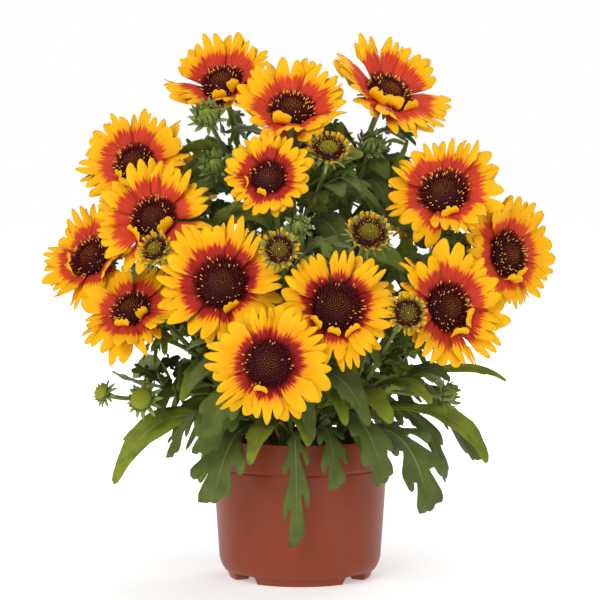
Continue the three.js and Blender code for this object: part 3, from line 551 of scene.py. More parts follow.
def noted(mesh, **values):
    """Stores a number or a vector for each point of a mesh, under each of these names."""
    for name, numbers in values.items():
        kind, key = ("FLOAT_VECTOR", "vector") if np.ndim(numbers) == 2 else ("FLOAT", "value")
        mesh.attributes.new(name, kind, "POINT").data.foreach_set(key, np.ravel(numbers))


def stalks_of(name):
    """The stalks of one stem, each widened to the seat of its head."""
    points, edges, girths = [], [], []
    for k, (head, arc) in enumerate(ARCS[name]):
        radius = STALK_RADIUS if k == 0 else BRANCH_RADIUS
        rings = stalk_steps(arc) * 5
        seat = head["disc"] * (0.66 if head["kind"] == "bloom" else 0.72)
        run = []
        for j in range(rings + 1):
            share = j / rings
            at = on_stalk(arc, share) * STALK_BENT + arc.point(arc.turn_share(share)) * (1 - STALK_BENT)
            run.append((at, radius * (1 - STALK_WAIST * math.sin(math.pi * j / rings))))
        if k > 0:
            run[0] = (run[0][0], radius * 1.25)
        run += [(np.array(head["at"]) - below * facing(head), radius + (seat - radius) * share)
                for below, share in SEAT]
        edges += [(len(points) + j, len(points) + j + 1) for j in range(len(run) - 1)]
        points += [tuple(at) for at, _ in run]
        girths += [girth for _, girth in run]
    line = bpy.data.meshes.new(name + "_lines")
    line.from_pydata(points, edges, [])
    noted(line, girth=girths)
    skin = grown(name + "_stalks", stalk_rule, line, Sides=10, Finish=stalk_skin)
    return grown(name + "_stalks", hair_rule, skin, Length=1.5, Density=0.11, Seed=len(points),
                 Finish=stalk_skin)


# ------------------------------------------------------------------------------
# Leaves: dull green, thick and softly hairy, with a pale midrib. Those at the foot are long and cut into
# forward-pointing lobes, those higher up are plain and narrow. They clasp the stalk and arch out and down.
# ------------------------------------------------------------------------------
LEAF_THICKNESS, LEAF_FOLD, YOUNG_LEAF = 0.5, 0.18, 0.97  # the second is a slope, the third a tone
LEAF_HANDLE = 0.8  # how far a leaf rises from its root before it bends down, as a share of its span
LEAF_TRIES, LEAF_SWING, LEAF_DROP = 17, 13, 12  # tries to place a leaf, each so many degrees and mm on
LEAF_SPACING, LEAF_OWN_ROOT = 5, 0.24  # of the points that stand for a leaf, and the share near its own stalk
LEAF_CLEAR, LEAF_CLEAR_LEAF, LEAF_VIEW, LEAF_ROOM = 5.2, 4.8, 70, 12  # from stalks, leaves and heads
FILL_CLEAR, FILL_CLEAR_LEAF, FILL_VIEW, FILL_ROOM = 2.2, 1.9, 40, 7
LEAF_CANOPY, LEAF_LOWEST = 132, 9  # the widest and lowest that a leaf may reach
OVER_RIM, OUT_OF_RIM, INTO_RIM, OVER_SOIL = 4, 3, 8, 5  # the room that leaves keep round the pot's edge

# Leaves given one by one: stem, share of the leader's length, tip, pitch and roll in degrees, half width,
# edge.
PLACED_LEAVES = [
    ("stem_front_left", 0.12, (-61, -88, 66), 27, -14, 20, "lobed"),
    ("stem_right", 0.14, (92.8, -74, 58.2), 30, 12, 22, "lobed"),
    ("stem_front", 0.17, (-6, -82, 34), 32, 14, 9, "lobed"),
    ("stem_left", 0.14, (-143, -48, 77), 30, -50, 12, "plain"),
    ("stem_front_mid", 0.16, (26, -88, 76), 36, -10, 10, "lobed"),
    ("stem_front_mid", 0.2, (59.9, -92, 80), 38, 14, 13, "lobed"),
    ("stem_right", 0.1, (47.1, -72, 92.4), 64, -20, 8, "plain"),
    ("stem_back_right", 0.08, (55.8, 50, 108.2), 44, 10, 14, "lobed"),
    ("stem_front", 0.21, (-36, -92, 92), 36, -14, 10, "plain"),
    ("stem_left", 0.2, (-92.5, -66, 96), 30, 20, 11, "lobed"),
    ("stem_left", 0.1, (-72, -66, 78), 50, -20, 8, "plain"),
    ("stem_right", 0.26, (137, -32, 88), 14, 46, 9, "plain"),
    ("stem_right", 0.2, (109.8, -8, 72.3), 40, 44, 12, "lobed"),
    ("stem_front", 0.26, (6, -94, 108), 36, -8, 8, "plain"),
    ("stem_left", 0.3, (-140, -8, 153.9), 6, 20, 10, "lobed"),
    ("stem_left_high", 0.26, (-83, -60, 128), 40, -30, 11, "plain"),
    ("stem_front_mid", 0.34, (32, -112, 122), 40, 0, 10, "plain"),
    ("stem_right", 0.36, (153, -30, 147), 24, 60, 4, "plain"),
    ("stem_right", 0.3, (93, -84, 137), 36, 30, 6, "plain"),
    ("stem_front_mid", 0.26, (64, -96, 124), 40, 10, 10, "plain"),
    ("stem_right_high", 0.6, (68, -66, 234), 36, 20, 7, "plain"),
    ("stem_top_right", 0.62, (80.1, -6, 327.1), 46, 50, 6, "plain"),
    ("stem_top_left", 0.7, (-86.1, 20, 328.1), 40, -50, 6, "plain"),
    ("stem_top_right", 0.42, (52, 18, 264), 30, 40, 11, "plain"),
    ("stem_top", 0.5, (-14, 24, 268), 30, -40, 10, "plain"),
    ("stem_top_left", 0.45, (-54, 22, 266), 30, -40, 11, "plain"),
    ("stem_right_high", 0.5, (74, 10, 254), 30, 40, 10, "plain"),
    ("stem_back_right", 0.55, (30, 62, 285), 30, 50, 10, "plain"),
    ("stem_top_right", 0.5, (90.1, 34, 245.5), 20, 50, 9, "plain"),
    ("stem_back_left", 0.5, (-40, 50, 250), 30, 50, 10, "plain"),
    ("stem_back_right", 0.48, (44, 48, 262), 16, 60, 13, "plain"),
    ("stem_top", 0.42, (22, 30, 250), 20, 50, 12, "plain"),
    ("stem_top_left", 0.5, (-61.6, 28, 282.9), 10, -44, 8, "lobed"),
    ("stem_top_right", 0.66, (50, -4, 345), 50, -30, 6, "plain"),
    ("stem_left", 0.34, (-88, -28, 160), 20, -40, 9, "plain"),
    ("stem_left_high", 0.34, (-92, 10, 176), 20, -50, 10, "lobed"),
    ("stem_left_high", 0.6, (-128, 12, 232), 10, -50, 9, "plain"),
    ("stem_back_right", 0.5, (81.9, 66, 250.4), 16, 60, 12, "plain"),
    ("stem_back_left", 0.12, (-61.1, 66, 100.2), 38, 20, 17, "lobed"),
    ("stem_back_left", 0.18, (-30.2, 92, 103.7), 34, -20, 16, "lobed"),
    ("stem_back_right", 0.12, (23.8, 90, 103.9), 36, 20, 16, "lobed"),
    ("stem_back_right", 0.18, (65.5, 60, 105.5), 34, -20, 15, "lobed"),
    ("stem_left", 0.26, (-96, 34, 128), 24, -30, 12, "plain"),
]
RULE_LEAVES, FILL_LEAVES = 6, 50  # on each stem, large ones set by rule and small inner ones
LEAF_RUN, LEAF_TURN, LEAF_SPREAD, LEAF_ROLL = (0.16, 0.76), 137.5, 100, (18, 52)


def between(ends, share):
    return ends[0] + (ends[1] - ends[0]) * share


def draws(seed):
    """A repeatable stream of numbers from 0 to 1."""
    state = seed
    while True:
        state = (state * 1664525 + 1013904223) % 4294967296
        yield state / 4294967296


def midrib(tip, pitch, root):
    """The three points of a leaf's arc, and the level direction across it."""
    span = tip - root
    out = unit(np.array([span[0], span[1], 0]))
    p = math.radians(pitch)
    lift = out * math.cos(p) + np.array([0, 0, math.sin(p)])
    return (root, root + lift * np.linalg.norm(span) * LEAF_HANDLE, tip), np.array([-out[1], out[0], 0])


def leaf_points(leaf):
    """Points spread over a leaf, for its clearance."""
    (low, handle, tip), level = midrib(leaf["tip"], leaf["pitch"], leaf["root"])
    rows = math.ceil(np.linalg.norm(tip - low) * 1.15 / LEAF_SPACING)
    roll = math.radians(leaf["roll"])
    found = []
    for k in range(1, rows + 1):
        t = k / rows
        at = low * (1 - t) ** 2 + handle * 2 * t * (1 - t) + tip * t ** 2
        up = np.cross(unit((handle - low) * (1 - t) + (tip - handle) * t), level)
        side = level * math.cos(roll) + up * math.sin(roll)
        half = leaf["half"] * (0.2 if t < 0.24 else 1) * (0.5 if t > 0.9 else 1)
        across = max(1, math.ceil(2 * half / LEAF_SPACING))
        found += [at + side * half * (2 * j / across - 1) for j in range(across + 1)]
    return np.array(found)


HEADS = [head for arcs in ARCS.values() for head, _ in arcs]


def in_a_head(points, view, room):
    """Whether any of these points is in a head's bowl or within room of it, or nearer than view before it."""
    for head in HEADS:
        away = points - np.array(head["at"])
        along = away @ facing(head)
        across = np.sqrt(np.maximum(0, (away ** 2).sum(1) - along ** 2))
        bowl = across * math.tan(math.radians(head["cup"]))
        if ((np.abs(along - bowl / 2) < room + bowl / 2) & (across < head["ray"] + 4)).any():
            return True
        if head["kind"] != "bud" and ((along > 0) & (along < view) & (across < head["ray"] * 0.8)).any():
            return True
    return False


def in_the_pot(points):
    """Whether any of these points is in the pot's wall, the soil or the floor, or too near them."""
    across, z = np.hypot(points[:, 0], points[:, 1]), points[:, 2]
    at_pot = (z <= POT_HEIGHT + OVER_RIM) & (across < POT_RIM + OUT_OF_RIM)
    at_edge = (across > POT_RIM - INTO_RIM) | (z < SOIL_TOP + OVER_SOIL)
    return bool(((z < LEAF_LOWEST) | (at_pot & at_edge)).any())


stalk_points, stalk_owner = [], []
for name, arcs in ARCS.items():
    for _, arc in arcs:
        steps = math.ceil(arc.length / LEAF_SPACING)
        stalk_points += [on_stalk(arc, k / steps) for k in range(steps + 1)]
        stalk_owner += [name] * (steps + 1)
stalk_points, stalk_owner = np.array(stalk_points), np.array(stalk_owner)
taken, taken_owner, taken_outer = np.zeros((0, 3)), np.array([], str), np.array([], bool)


def nearness(points, others, clear):
    """Which of the others lie in the box round these points, and which of the points each of those is by."""
    close = ((others > points.min(0) - clear) & (others < points.max(0) + clear)).all(1)
    return close, ((others[close][None] - points[:, None]) ** 2).sum(2) < clear ** 2


def settle(leaf):
    """Tries a leaf in several places, and returns it where it first lies clear, or nothing."""
    global taken, taken_owner, taken_outer
    arcs = ARCS[leaf["stem"]]
    root = on_stalk(arcs[leaf["on"]][1], leaf["at"])
    for k in range(LEAF_TRIES):
        swing = LEAF_SWING * math.ceil(k / 2) * (1 if k % 2 else -1)
        drop = LEAF_DROP * ((k % 3) - (1 if k > 0 else 0))
        bent = dict(leaf, root=root)
        if "reach" in leaf:
            out = heading(leaf["bearing"] + swing, 0)
            bent["tip"] = root + out * leaf["reach"] - np.array([0, 0, leaf["fall"] + drop])
            bent["roll"] = leaf["roll"] * np.sign(-bent["tip"][0] * bent["tip"][1])
            if math.hypot(bent["tip"][0], bent["tip"][1]) > LEAF_CANOPY:
                continue
        else:
            bent["tip"] = np.array(leaf["tip"]) + (swing / 4, 0, drop / 2)
        points = leaf_points(bent)
        if in_the_pot(points) or in_a_head(points, leaf["view"], leaf["room"]):
            continue
        past = np.arange(len(points)) > len(points) * LEAF_OWN_ROOT
        close, near = nearness(points, stalk_points, leaf["clear"])
        strange = (stalk_owner[close] != leaf["stem"])[None]
        if (near & (strange | past[:, None])).any():
            continue
        close, near = nearness(points, taken, leaf["clear_leaf"])
        strange = (taken_owner[close] != leaf["stem"])[None]
        if (near & (strange | (past[:, None] & taken_outer[close][None]))).any():
            continue
        taken = np.concatenate([taken, points])
        taken_owner = np.concatenate([taken_owner, [leaf["stem"]] * len(points)])
        taken_outer = np.concatenate([taken_outer, past])
        return bent
    return None


wanted = [dict(stem=stem, on=0, at=at, tip=tip, pitch=pitch, roll=roll, half=half, edge=edge,
               tone=YOUNG_LEAF if edge == "plain" else 0)
          for stem, at, tip, pitch, roll, half, edge in PLACED_LEAVES]
for index, (name, arcs) in enumerate(ARCS.items()):
    roll = draws(900 + index)
    tx, ty, _ = arcs[0][0]["at"]
    outward = math.degrees(math.atan2(tx, -ty))
    for i in range(RULE_LEAVES):
        share = i / (RULE_LEAVES - 1)
        spread = LEAF_SPREAD * (2 * ((i * LEAF_TURN / 360 + next(roll)) % 1) - 1)
        wanted.append(dict(
            stem=name, on=0, at=between(LEAF_RUN, share), bearing=outward + spread,
            reach=between((92, 54), share) + next(roll) * 12, pitch=between((40, 60), next(roll)),
            fall=between((26, -4), share) + next(roll) * 16, half=between((15, 11), share),
            roll=between(LEAF_ROLL, next(roll)), edge="lobed" if share < 0.45 else "plain"))
    for k in range(1, len(arcs)):
        wanted.append(dict(
            stem=name, on=k, at=between((0.45, 0.65), next(roll)), bearing=outward + (next(roll) - 0.5) * 200,
            reach=between((40, 54), next(roll)), pitch=between((40, 60), next(roll)),
            fall=between((0, 16), next(roll)), half=7, roll=between(LEAF_ROLL, next(roll)), edge="small"))
for leaf in wanted:
    leaf.update(clear=LEAF_CLEAR, clear_leaf=LEAF_CLEAR_LEAF, view=LEAF_VIEW, room=LEAF_ROOM)
for index, (name, arcs) in enumerate(ARCS.items()):
    roll = draws(4100 + index)
    for i in range(FILL_LEAVES):
        wanted.append(dict(
            stem=name, on=i % len(arcs), at=between((0.1, 0.9), next(roll)), bearing=360 * next(roll),
            reach=between((24, 58), next(roll)), pitch=between((25, 75), next(roll)),
            fall=between((-26, 18), next(roll)), half=between((4.5, 10), next(roll)),
            roll=between((10, 70), next(roll)), edge="fill",
            clear=FILL_CLEAR, clear_leaf=FILL_CLEAR_LEAF, view=FILL_VIEW, room=FILL_ROOM))
LEAVES = [leaf for leaf in map(settle, wanted) if leaf]

leaf_skin, tree, shader = finish("leaf", 0.55, 0.16)
along, across, tone, rib = painted(tree, "along", "across", "tone", "rib")
place = object_place(tree)
shade_patch_noise = noise(tree, place, 70.0, 3.0)
fine = noise(tree, place, 900.0, 3.0)
vein = rib.ramp(0.055, 0.02) * along.ramp(1.0, 0.55)
sweep = along * 8.0 - (across.size() ** 0.7) * 1.6 + across * 0.35
veins = (sweep.part() - 0.5).size().ramp(0.07, 0.0) * rib.ramp(0.7, 0.05)
young_green = blend(tree, tone, (0.072, 0.112, 0.008), (0.205, 0.248, 0.012))
old_green = blend(tree, tone, (0.064, 0.094, 0.017), (0.180, 0.212, 0.052))
green = blend(tree, (tone * 7.3).part(), young_green, old_green)
# Painted shade: blotches of dark green stand for patches of the leaf in shadow.
shade_blotched = blend(tree, shade_patch_noise.ramp(0.6, 0.35) * 0.5, green, (0.050, 0.074, 0.009))
veined = blend(tree, veins * 0.16, shade_blotched, (0.27, 0.31, 0.10))
feed(shader, Base_Color=blend(tree, vein * 0.6, veined, (0.36, 0.40, 0.16)),
     Roughness=fine * 0.2 + 0.45,
     Normal=bump(tree, fine * 0.35 - veins * 0.5 - vein, 0.0004))
shader.inputs["Sheen Weight"].default_value = 0.06

VEIN_WEB = 0.035  # how softly the outline goes round the lobes


def cut_blade(name, length, cell, lobes):
    """A flat blade, in half widths, whose outline goes softly round its lobes. Each lobe is a vein from one
    place to another, with the half widths of green along it, and the first lobe is the midrib's."""
    def outside(points):
        total, rib = np.zeros(len(points)), np.full(len(points), 9.0)
        for k, (start, end, widths) in enumerate(lobes):
            run = np.subtract(end, start)
            t = np.clip((points - start) @ run / (run @ run), 0, 1)
            off = np.linalg.norm(points - start - t[:, None] * run, axis=1)
            total += np.exp(-(off - np.interp(t, np.linspace(0, 1, len(widths)), widths)) / VEIN_WEB)
            rib = off if k == 0 else rib
        return -VEIN_WEB * np.log(total + 1e-300), rib

    columns = np.arange(-math.ceil(1.3 / cell), math.ceil(1.3 / cell) + 1) * cell
    rows = np.arange(-1, math.ceil((length + 0.4) / cell)) * cell
    grid = np.stack(np.meshgrid(columns, rows, indexing="ij"), -1).reshape(-1, 2)
    inside = (outside(grid)[0] < cell * 0.42).reshape(len(columns), len(rows))
    full = inside[:-1, :-1] & inside[1:, :-1] & inside[:-1, 1:] & inside[1:, 1:]
    number = np.arange(len(grid)).reshape(inside.shape)
    faces = [(number[i, j], number[i + 1, j], number[i + 1, j + 1], number[i, j + 1])
             for i, j in np.argwhere(full)]
    shared = np.bincount(np.ravel(faces), minlength=len(grid))
    rim = (shared > 0) & (shared < 4)
    edge, step = grid[rim], 0.001
    for _ in range(5):
        here = outside(edge)[0]
        slope = np.stack([(outside(edge + move)[0] - here) / step for move in ((step, 0), (0, step))], -1)
        edge = edge - (here / np.maximum(0.2, (slope ** 2).sum(1)))[:, None] * slope * 0.8
    grid[rim] = edge
    used = np.flatnonzero(shared)
    renumbered = np.zeros(len(grid), int)
    renumbered[used] = np.arange(len(used))
    mesh = bpy.data.meshes.new(name)
    mesh.from_pydata([(x, y, 0) for x, y in grid[used]], [], renumbered[np.array(faces)].tolist())
    noted(mesh, across=grid[used, 0], along=np.clip(grid[used, 1] / length, 0, 1), rib=outside(grid[used])[1])
    return bpy.data.objects.new(name, mesh)


def pairs(*lobes):
    """Lobes on both sides of the midrib, those on the left a little higher up."""
    both = []
    for low, out, high, widths in lobes:
        both.append(((0, low), (out, high), widths))
        both.append(((0, low + 0.22), (-out * 0.94, high + 0.25), widths))
    return both


# For each kind of leaf its cuts: length in half widths, size of the mesh's cells, and lobes.
LEAF_CUTS = {
    "lobed": [
        cut_blade("lobed_leaf", 4.9, 0.14, [((0, 0), (0, 4.55), (0.10, 0.12, 0.16, 0.24, 0.32, 0.38, 0.34))]
                  + pairs((1.30, 0.50, 1.95, (0.09, 0.15)), (1.95, 0.90, 2.95, (0.12, 0.15, 0.20)),
                          (2.75, 0.88, 3.95, (0.16, 0.18, 0.22)), (3.65, 0.48, 4.55, (0.18, 0.20)))),
        cut_blade("cut_leaf", 5.0, 0.14, [((0, 0), (0, 4.55), (0.10, 0.12, 0.15, 0.22, 0.30, 0.46, 0.42))]
                  + pairs((1.7, 0.86, 3.05, (0.12, 0.15, 0.19)), (2.8, 0.80, 4.05, (0.16, 0.22, 0.22)),
                          (3.8, 0.46, 4.65, (0.2, 0.18)))),
        cut_blade("broad_leaf", 4.4, 0.15, [((0, 0), (0, 4.0), (0.12, 0.20, 0.44, 0.66, 0.74, 0.62, 0.34))]
                  + pairs((1.5, 0.90, 2.5, (0.2, 0.16)), (2.3, 0.92, 3.2, (0.2, 0.15)),
                          (3.0, 0.72, 3.8, (0.2, 0.15))))],
    "plain": [
        cut_blade("long_leaf", 5.2, 0.2, [
            ((0, 0), (0, 4.75), (0.12, 0.16, 0.36, 0.66, 0.86, 0.86, 0.62, 0.34)),
            ((0, 2.4), (0.84, 3.2), (0.1, 0.12)), ((0, 3.2), (-0.8, 3.9), (0.1, 0.12))]),
        cut_blade("spoon_leaf", 4.4, 0.2, [((0, 0), (0, 3.8), (0.12, 0.16, 0.28, 0.56, 0.90, 0.96, 0.60))])],
    "small": [cut_blade("upper_leaf", 4.4, 0.28, [((0, 0), (0, 4.0), (0.2, 0.4, 0.75, 0.95, 0.80, 0.4))])],
    "fill": [
        cut_blade("inner_leaf", 5.0, 0.3, [((0, 0), (0, 4.6), (0.12, 0.2, 0.5, 0.82, 0.94, 0.74, 0.36))]),
        cut_blade("inner_cut_leaf", 4.9, 0.24, [((0, 0), (0, 4.4), (0.10, 0.14, 0.26, 0.36, 0.42, 0.34))]
                  + pairs((1.6, 0.78, 2.7, (0.12, 0.19)), (2.7, 0.74, 3.75, (0.18, 0.22))))],
}

leaf_rule, wires = growth_rule("leaves", Blade="Object", Seed="Int")


def on_arc(tree, geometry, arc, level, roll, off_side, lift, place_along):
    """Moves points that know their place along and across a blade onto the blade's own arc."""
    root, handle, tip = arc
    back = 1.0 - place_along
    at = root * (back * back) + handle * (back * place_along * 2.0) + tip * (place_along * place_along)
    up = ((handle - root) * back + (tip - handle) * place_along).unit().cross(level)
    side = level * roll.cosine() + up * roll.sine()
    over = up * roll.cosine() - level * roll.sine()
    return put(tree, "GeometryNodeSetPosition",
               named={"Geometry": geometry, "Position": at + side * off_side + over * lift})


def blades(tree, beds, sheet):
    """The sheet on each point of the beds, numbered, with its points' places along and across it."""
    beds = stored(tree, beds, "blade", put(tree, "GeometryNodeInputIndex"), "INT")
    sheets = put(tree, "GeometryNodeRealizeInstances", planted(tree, beds, sheet))
    return sheets, attribute(tree, "blade", "INT"), attribute(tree, "along"), attribute(tree, "across")


cut = put(leaf_rule, "GeometryNodeObjectInfo", wires["Blade"], output="Geometry")
sheets, blade, s, v = blades(leaf_rule, wires["Geometry"], cut)
rib = attribute(leaf_rule, "rib")
phase = dice(leaf_rule, 0.0, 1.0, blade, wires["Seed"], 1)
half = attribute(leaf_rule, "half")
ripple = ((s * 4.5 + phase * 3.0) * (2 * math.pi)).sine() * v * v.size() * 0.10
cupped = rib * rib * dice(leaf_rule, -0.30, 0.10, blade, wires["Seed"], 3)
quilt = ((s * 9.0 - v.size() * 1.3) * (2 * math.pi)).sine() * rib.ramp(0.0, 0.4) * 0.22
lift = half * (v.size() * LEAF_FOLD + ripple + cupped) + quilt - rib.ramp(0.2, 0.0) * 0.5
arc = [attribute(leaf_rule, name, "FLOAT_VECTOR") for name in ("root", "handle", "tip")]
laid = on_arc(leaf_rule, sheets, arc, attribute(leaf_rule, "level", "FLOAT_VECTOR"),
              attribute(leaf_rule, "roll") + (s - 0.4) * dice(leaf_rule, -0.6, 0.6, blade, wires["Seed"], 2),
              v * half, lift, s)
end_rule(leaf_rule, laid, wires["Finish"])


def leaves_of(name):
    """The leaf blades of one stem, as a mesh for each cut."""
    meshes = []
    for edge, cut in ((edge, cut) for edge, cuts in LEAF_CUTS.items() for cut in cuts):
        mine = [leaf for leaf in LEAVES if leaf["stem"] == name and leaf["edge"] == edge]
        mine = mine[LEAF_CUTS[edge].index(cut)::len(LEAF_CUTS[edge])]
        if not mine:
            continue
        bed = bpy.data.meshes.new(cut.name + "_bed")
        bed.from_pydata([tuple(leaf["root"]) for leaf in mine], [], [])
        arcs = [midrib(leaf["tip"], leaf["pitch"], leaf["root"]) for leaf in mine]
        roll = draws(len(mine) * 17 + len(name))
        noted(bed, root=[arc[0][0] for arc in arcs], handle=[arc[0][1] for arc in arcs],
              tip=[arc[0][2] for arc in arcs], level=[arc[1] for arc in arcs],
              half=[leaf["half"] for leaf in mine], roll=[math.radians(leaf["roll"]) for leaf in mine],
              tone=[leaf.get("tone", 0) or next(roll) for leaf in mine])
        meshes.append(grown(name + "_" + edge, leaf_rule, bed, LEAF_THICKNESS, Blade=cut,
                            Seed=len(mine) * 31 + len(name), Finish=leaf_skin))
    return meshes


# ------------------------------------------------------------------------------
# Bracts and buds: rows of narrow green, hairy points under each head. They spread flat under an open head
# and close over a bud. Each row is a ring of blades, and goes into the piece of the stem that carries it.
# ------------------------------------------------------------------------------
BRACT_THICKNESS = 0.5

ring_rule, wires = growth_rule(
    "ring of blades", Blades="Int", Rows="Int", Columns="Int", Hub="Float", Length="Float", Half="Float",
    Cup="Float", Stagger="Float", Bend="Float", Wild="Float", Hang="Float", Down="Vector", Facing="Float",
    Spread="Float", Point="Float", Notch="Float", Groove="Float", Base="Float", Red="Float", Deep="Float",
    Seed="Int")
points = put(ring_rule, "GeometryNodePoints", wires["Blades"])
sheet = put(ring_rule, "GeometryNodeMeshGrid", 2.0, 1.0, wires["Columns"], wires["Rows"])
place = put(ring_rule, "GeometryNodeInputPosition")
sheet = stored(ring_rule, sheet, "across", place.axis("X"))
sheet = stored(ring_rule, sheet, "along", place.axis("Y") + 0.5)
sheets, blade, s, v = blades(ring_rule, points, sheet)


def roll_of(low, high, salt, number=None):
    """A draw for each blade, or for each of these numbers."""
    return dice(ring_rule, low, high, number or blade, wires["Seed"], salt)


def towards(tilt, length):
    return out * (tilt.cosine() * length) + xyz(ring_rule, 0.0, 0.0, tilt.sine() * length)


# Each blade's arc: every second one lies a little higher, and all lean, bend and hang by the rule's sizes.
upper = (blade * 0.5).part() * 2.0
angle = wires["Facing"] + ((blade + roll_of(0.2, 0.8, 1)) / wires["Blades"] - 0.5) * wires["Spread"]
out = xyz(ring_rule, angle.cosine(), angle.sine(), 0.0)
level = xyz(ring_rule, -angle.sine(), angle.cosine(), 0.0)
hang = out.dot(wires["Down"]).least(0.0) * wires["Hang"]
lean = wires["Cup"] + (upper - 0.45) * wires["Stagger"] + roll_of(-1.0, 1.0, 3) * wires["Wild"]
first = lean * math.radians(1)
second = first + (wires["Bend"] + roll_of(-1.0, 1.0, 4) * wires["Wild"] * 2.2 - hang) * math.radians(1)
long = wires["Length"] * roll_of(0.90, 1.03, 5) * (1.0 - upper * 0.05)
root = out * wires["Hub"] + xyz(ring_rule, 0.0, 0.0, wires["Base"] + upper * 0.5)
handle = root + towards(first, long * 0.52)
tip = handle + towards(second, long * 0.52)

# Its outline: a spoon for a petal and a spear for a bract, with two or three lobes at a petal's end.
soft = 1.0 - wires["Point"]
spoon = 0.38 + s * 1.16 - s * s * 0.64
spear = (1.0 - s * 0.97) ** 0.8 * (0.75 + s * 0.9)
width = spoon * soft + spear * wires["Point"]
half = wires["Half"] * roll_of(0.76, 1.1, 6)
two = roll_of(0.0, 1.0, 15).below(0.5)
fingers = ((v * (1.5 - two * 0.5) + two * 0.5) * math.pi).cosine().size() ** 0.62
finger = (v * 0.999 * (1.5 - two * 0.5) + 0.5 - two * 0.5).whole() + blade * 5.0
notch = wires["Notch"] * roll_of(0.6, 1.35, 7)
longer = roll_of(-0.42, 0.10, 16, finger) * wires["Notch"]
end = 1.0 - (notch - (notch + longer) * fingers + v * v * 0.07) * soft
reach = s * (1.0 - (1.0 - end) * s * s)

# Its relief: lobes that wave, grooves between them, an arch across, a ruffle along the edge and a twist.
free = ((reach - 0.72) * 3.6).least(0.0)
waved = roll_of(-9.0, 7.0, 17, finger) * free * free * fingers * wires["Notch"] * soft
ribs = fingers * wires["Groove"] * s.ramp(0.0, 0.35)
arched = v * v * width * roll_of(-0.34, 0.0, 8) * half + waved
ruffle = ((s * roll_of(0.8, 1.6, 9) + roll_of(0.0, 1.0, 10)) * (2 * math.pi)).sine() * v * s * half * 0.12
twist = roll_of(-1.0, 1.0, 11)
twist = twist * twist.size() * (0.5 - wires["Point"] * 0.3)
laid = on_arc(ring_rule, sheets, (root, handle, tip), level, twist,
              v * width * half, arched + ruffle + ribs, reach)
laid = stored(ring_rule, laid, "tone", roll_of(0.0, 1.0, 12))
laid = stored(ring_rule, laid, "red", wires["Red"] * roll_of(0.84, 1.14, 13))
laid = stored(ring_rule, laid, "deep", wires["Deep"] + roll_of(-0.12, 0.12, 14))
end_rule(ring_rule, laid, wires["Finish"])

bract_skin, tree, shader = finish("hairy bract", 0.6)
along, tone = painted(tree, "along", "tone")
fine = noise(tree, object_place(tree), 1400.0, 3.0)
green = blend(tree, along * 0.5 + tone * 0.5, (0.30, 0.36, 0.10), (0.150, 0.200, 0.045))
feed(shader, Base_Color=blend(tree, fine.ramp(0.55, 0.8) * 0.5, green, (0.50, 0.53, 0.27)),
     Normal=bump(tree, fine, 0.0004))


def turn_to(head):
    """The move from a head's own frame, in which it faces +Z, to its place on the plant."""
    way = Vector(facing(head))
    return Matrix.Translation(head["at"]) @ Vector((0, 0, 1)).rotation_difference(way).to_matrix().to_4x4()


def earthwards(head):
    """Which way is down, in a head's own frame."""
    return tuple(turn_to(head).to_3x3().transposed() @ Vector((0, 0, -1)))


# Rows of bracts: blades, hub and length as shares of the disc's radius, cup, bend and base.
BRACT_ROWS = {
    "bloom": [(14, 0.56, 0.72, -14, -22, -2.2), (12, 0.5, 0.62, -30, -26, -3.0)],
    "young": [(19, 0.70, 1.05, 30, 12, -1.6), (18, 0.66, 1.20, 6, -12, -2.6)],
    "button": [(15, 0.74, 0.50, 44, 20, -1.0), (12, 0.66, 0.95, -4, -24, -2.6)],
    "bud": [(11, 0.60, 0.85, 82, 52, 0.2), (12, 0.74, 1.10, 64, 52, -0.6), (12, 0.76, 1.05, 44, 34, -1.6),
            (11, 0.66, 0.95, 10, 4, -2.6)],
}


def bracts_of(head, seed):
    """The rows of bracts under a head, each in its place."""
    meshes, disc, narrow = [], head["disc"], 0.12 if head["kind"] == "young" else 0.2
    for k, (count, hub, length, cup, bend, base) in enumerate(BRACT_ROWS[head["kind"]]):
        ring = grown(head["name"] + "_bracts", ring_rule, None, BRACT_THICKNESS, Blades=count, Rows=8,
                     Columns=4, Hub=disc * hub, Length=disc * length, Half=disc * narrow + 0.3, Cup=cup,
                     Stagger=6.0, Bend=bend, Wild=8.0, Hang=8.0, Down=earthwards(head), Spread=2 * math.pi,
                     Point=1.0, Base=base, Seed=seed + k, Finish=bract_skin)
        if head["kind"] != "bloom":
            ring = grown(ring.name, hair_rule, ring, Length=1.6, Density=0.25, Seed=seed, Finish=bract_skin)
        ring.transform(turn_to(head))
        meshes.append(ring)
    return meshes


# ------------------------------------------------------------------------------
# Discs: a low dome packed with small tube florets along a spiral. The outer ones are open, dark maroon and
# tipped with yellow pollen, the inner ones are still closed. A button's or a bud's are all green and closed.
# ------------------------------------------------------------------------------
FLORET_TURN = 2.39996  # radians from one floret to the next round the spiral
DISC_DOME = 0.42
RAY_PLATE, GAP = 0.8, 0.3  # half thickness of the ring that rays spring from, and the room over it

floret_rule, wires = growth_rule("florets", Florets="Int", Radius="Float", Dome="Float", Base="Float",
                                 Inner="Float", Tall="Float", Thick="Float", Splay="Float", Tipped="Float",
                                 Seed="Int")
points = put(floret_rule, "GeometryNodePoints", wires["Florets"])
number = put(floret_rule, "GeometryNodeInputIndex")
share = ((number + 0.5) / wires["Florets"]) ** 0.5
turn = number * FLORET_TURN
radius = wires["Radius"] * share
height = wires["Base"] + wires["Dome"] * (1.0 - share ** 2.4)
spot = xyz(floret_rule, radius * turn.cosine(), radius * turn.sine(), height)
points = put(floret_rule, "GeometryNodeSetPosition", named={"Geometry": points, "Position": spot})
points = stored(floret_rule, points, "share", share)
tone = dice(floret_rule, 0.0, 1.0, number, wires["Seed"], 1)
points = stored(floret_rule, points, "tipped", tone.below(wires["Tipped"]))
lean = share ** 1.6 * wires["Splay"] + dice(floret_rule, -0.18, 0.18, number, wires["Seed"], 2)
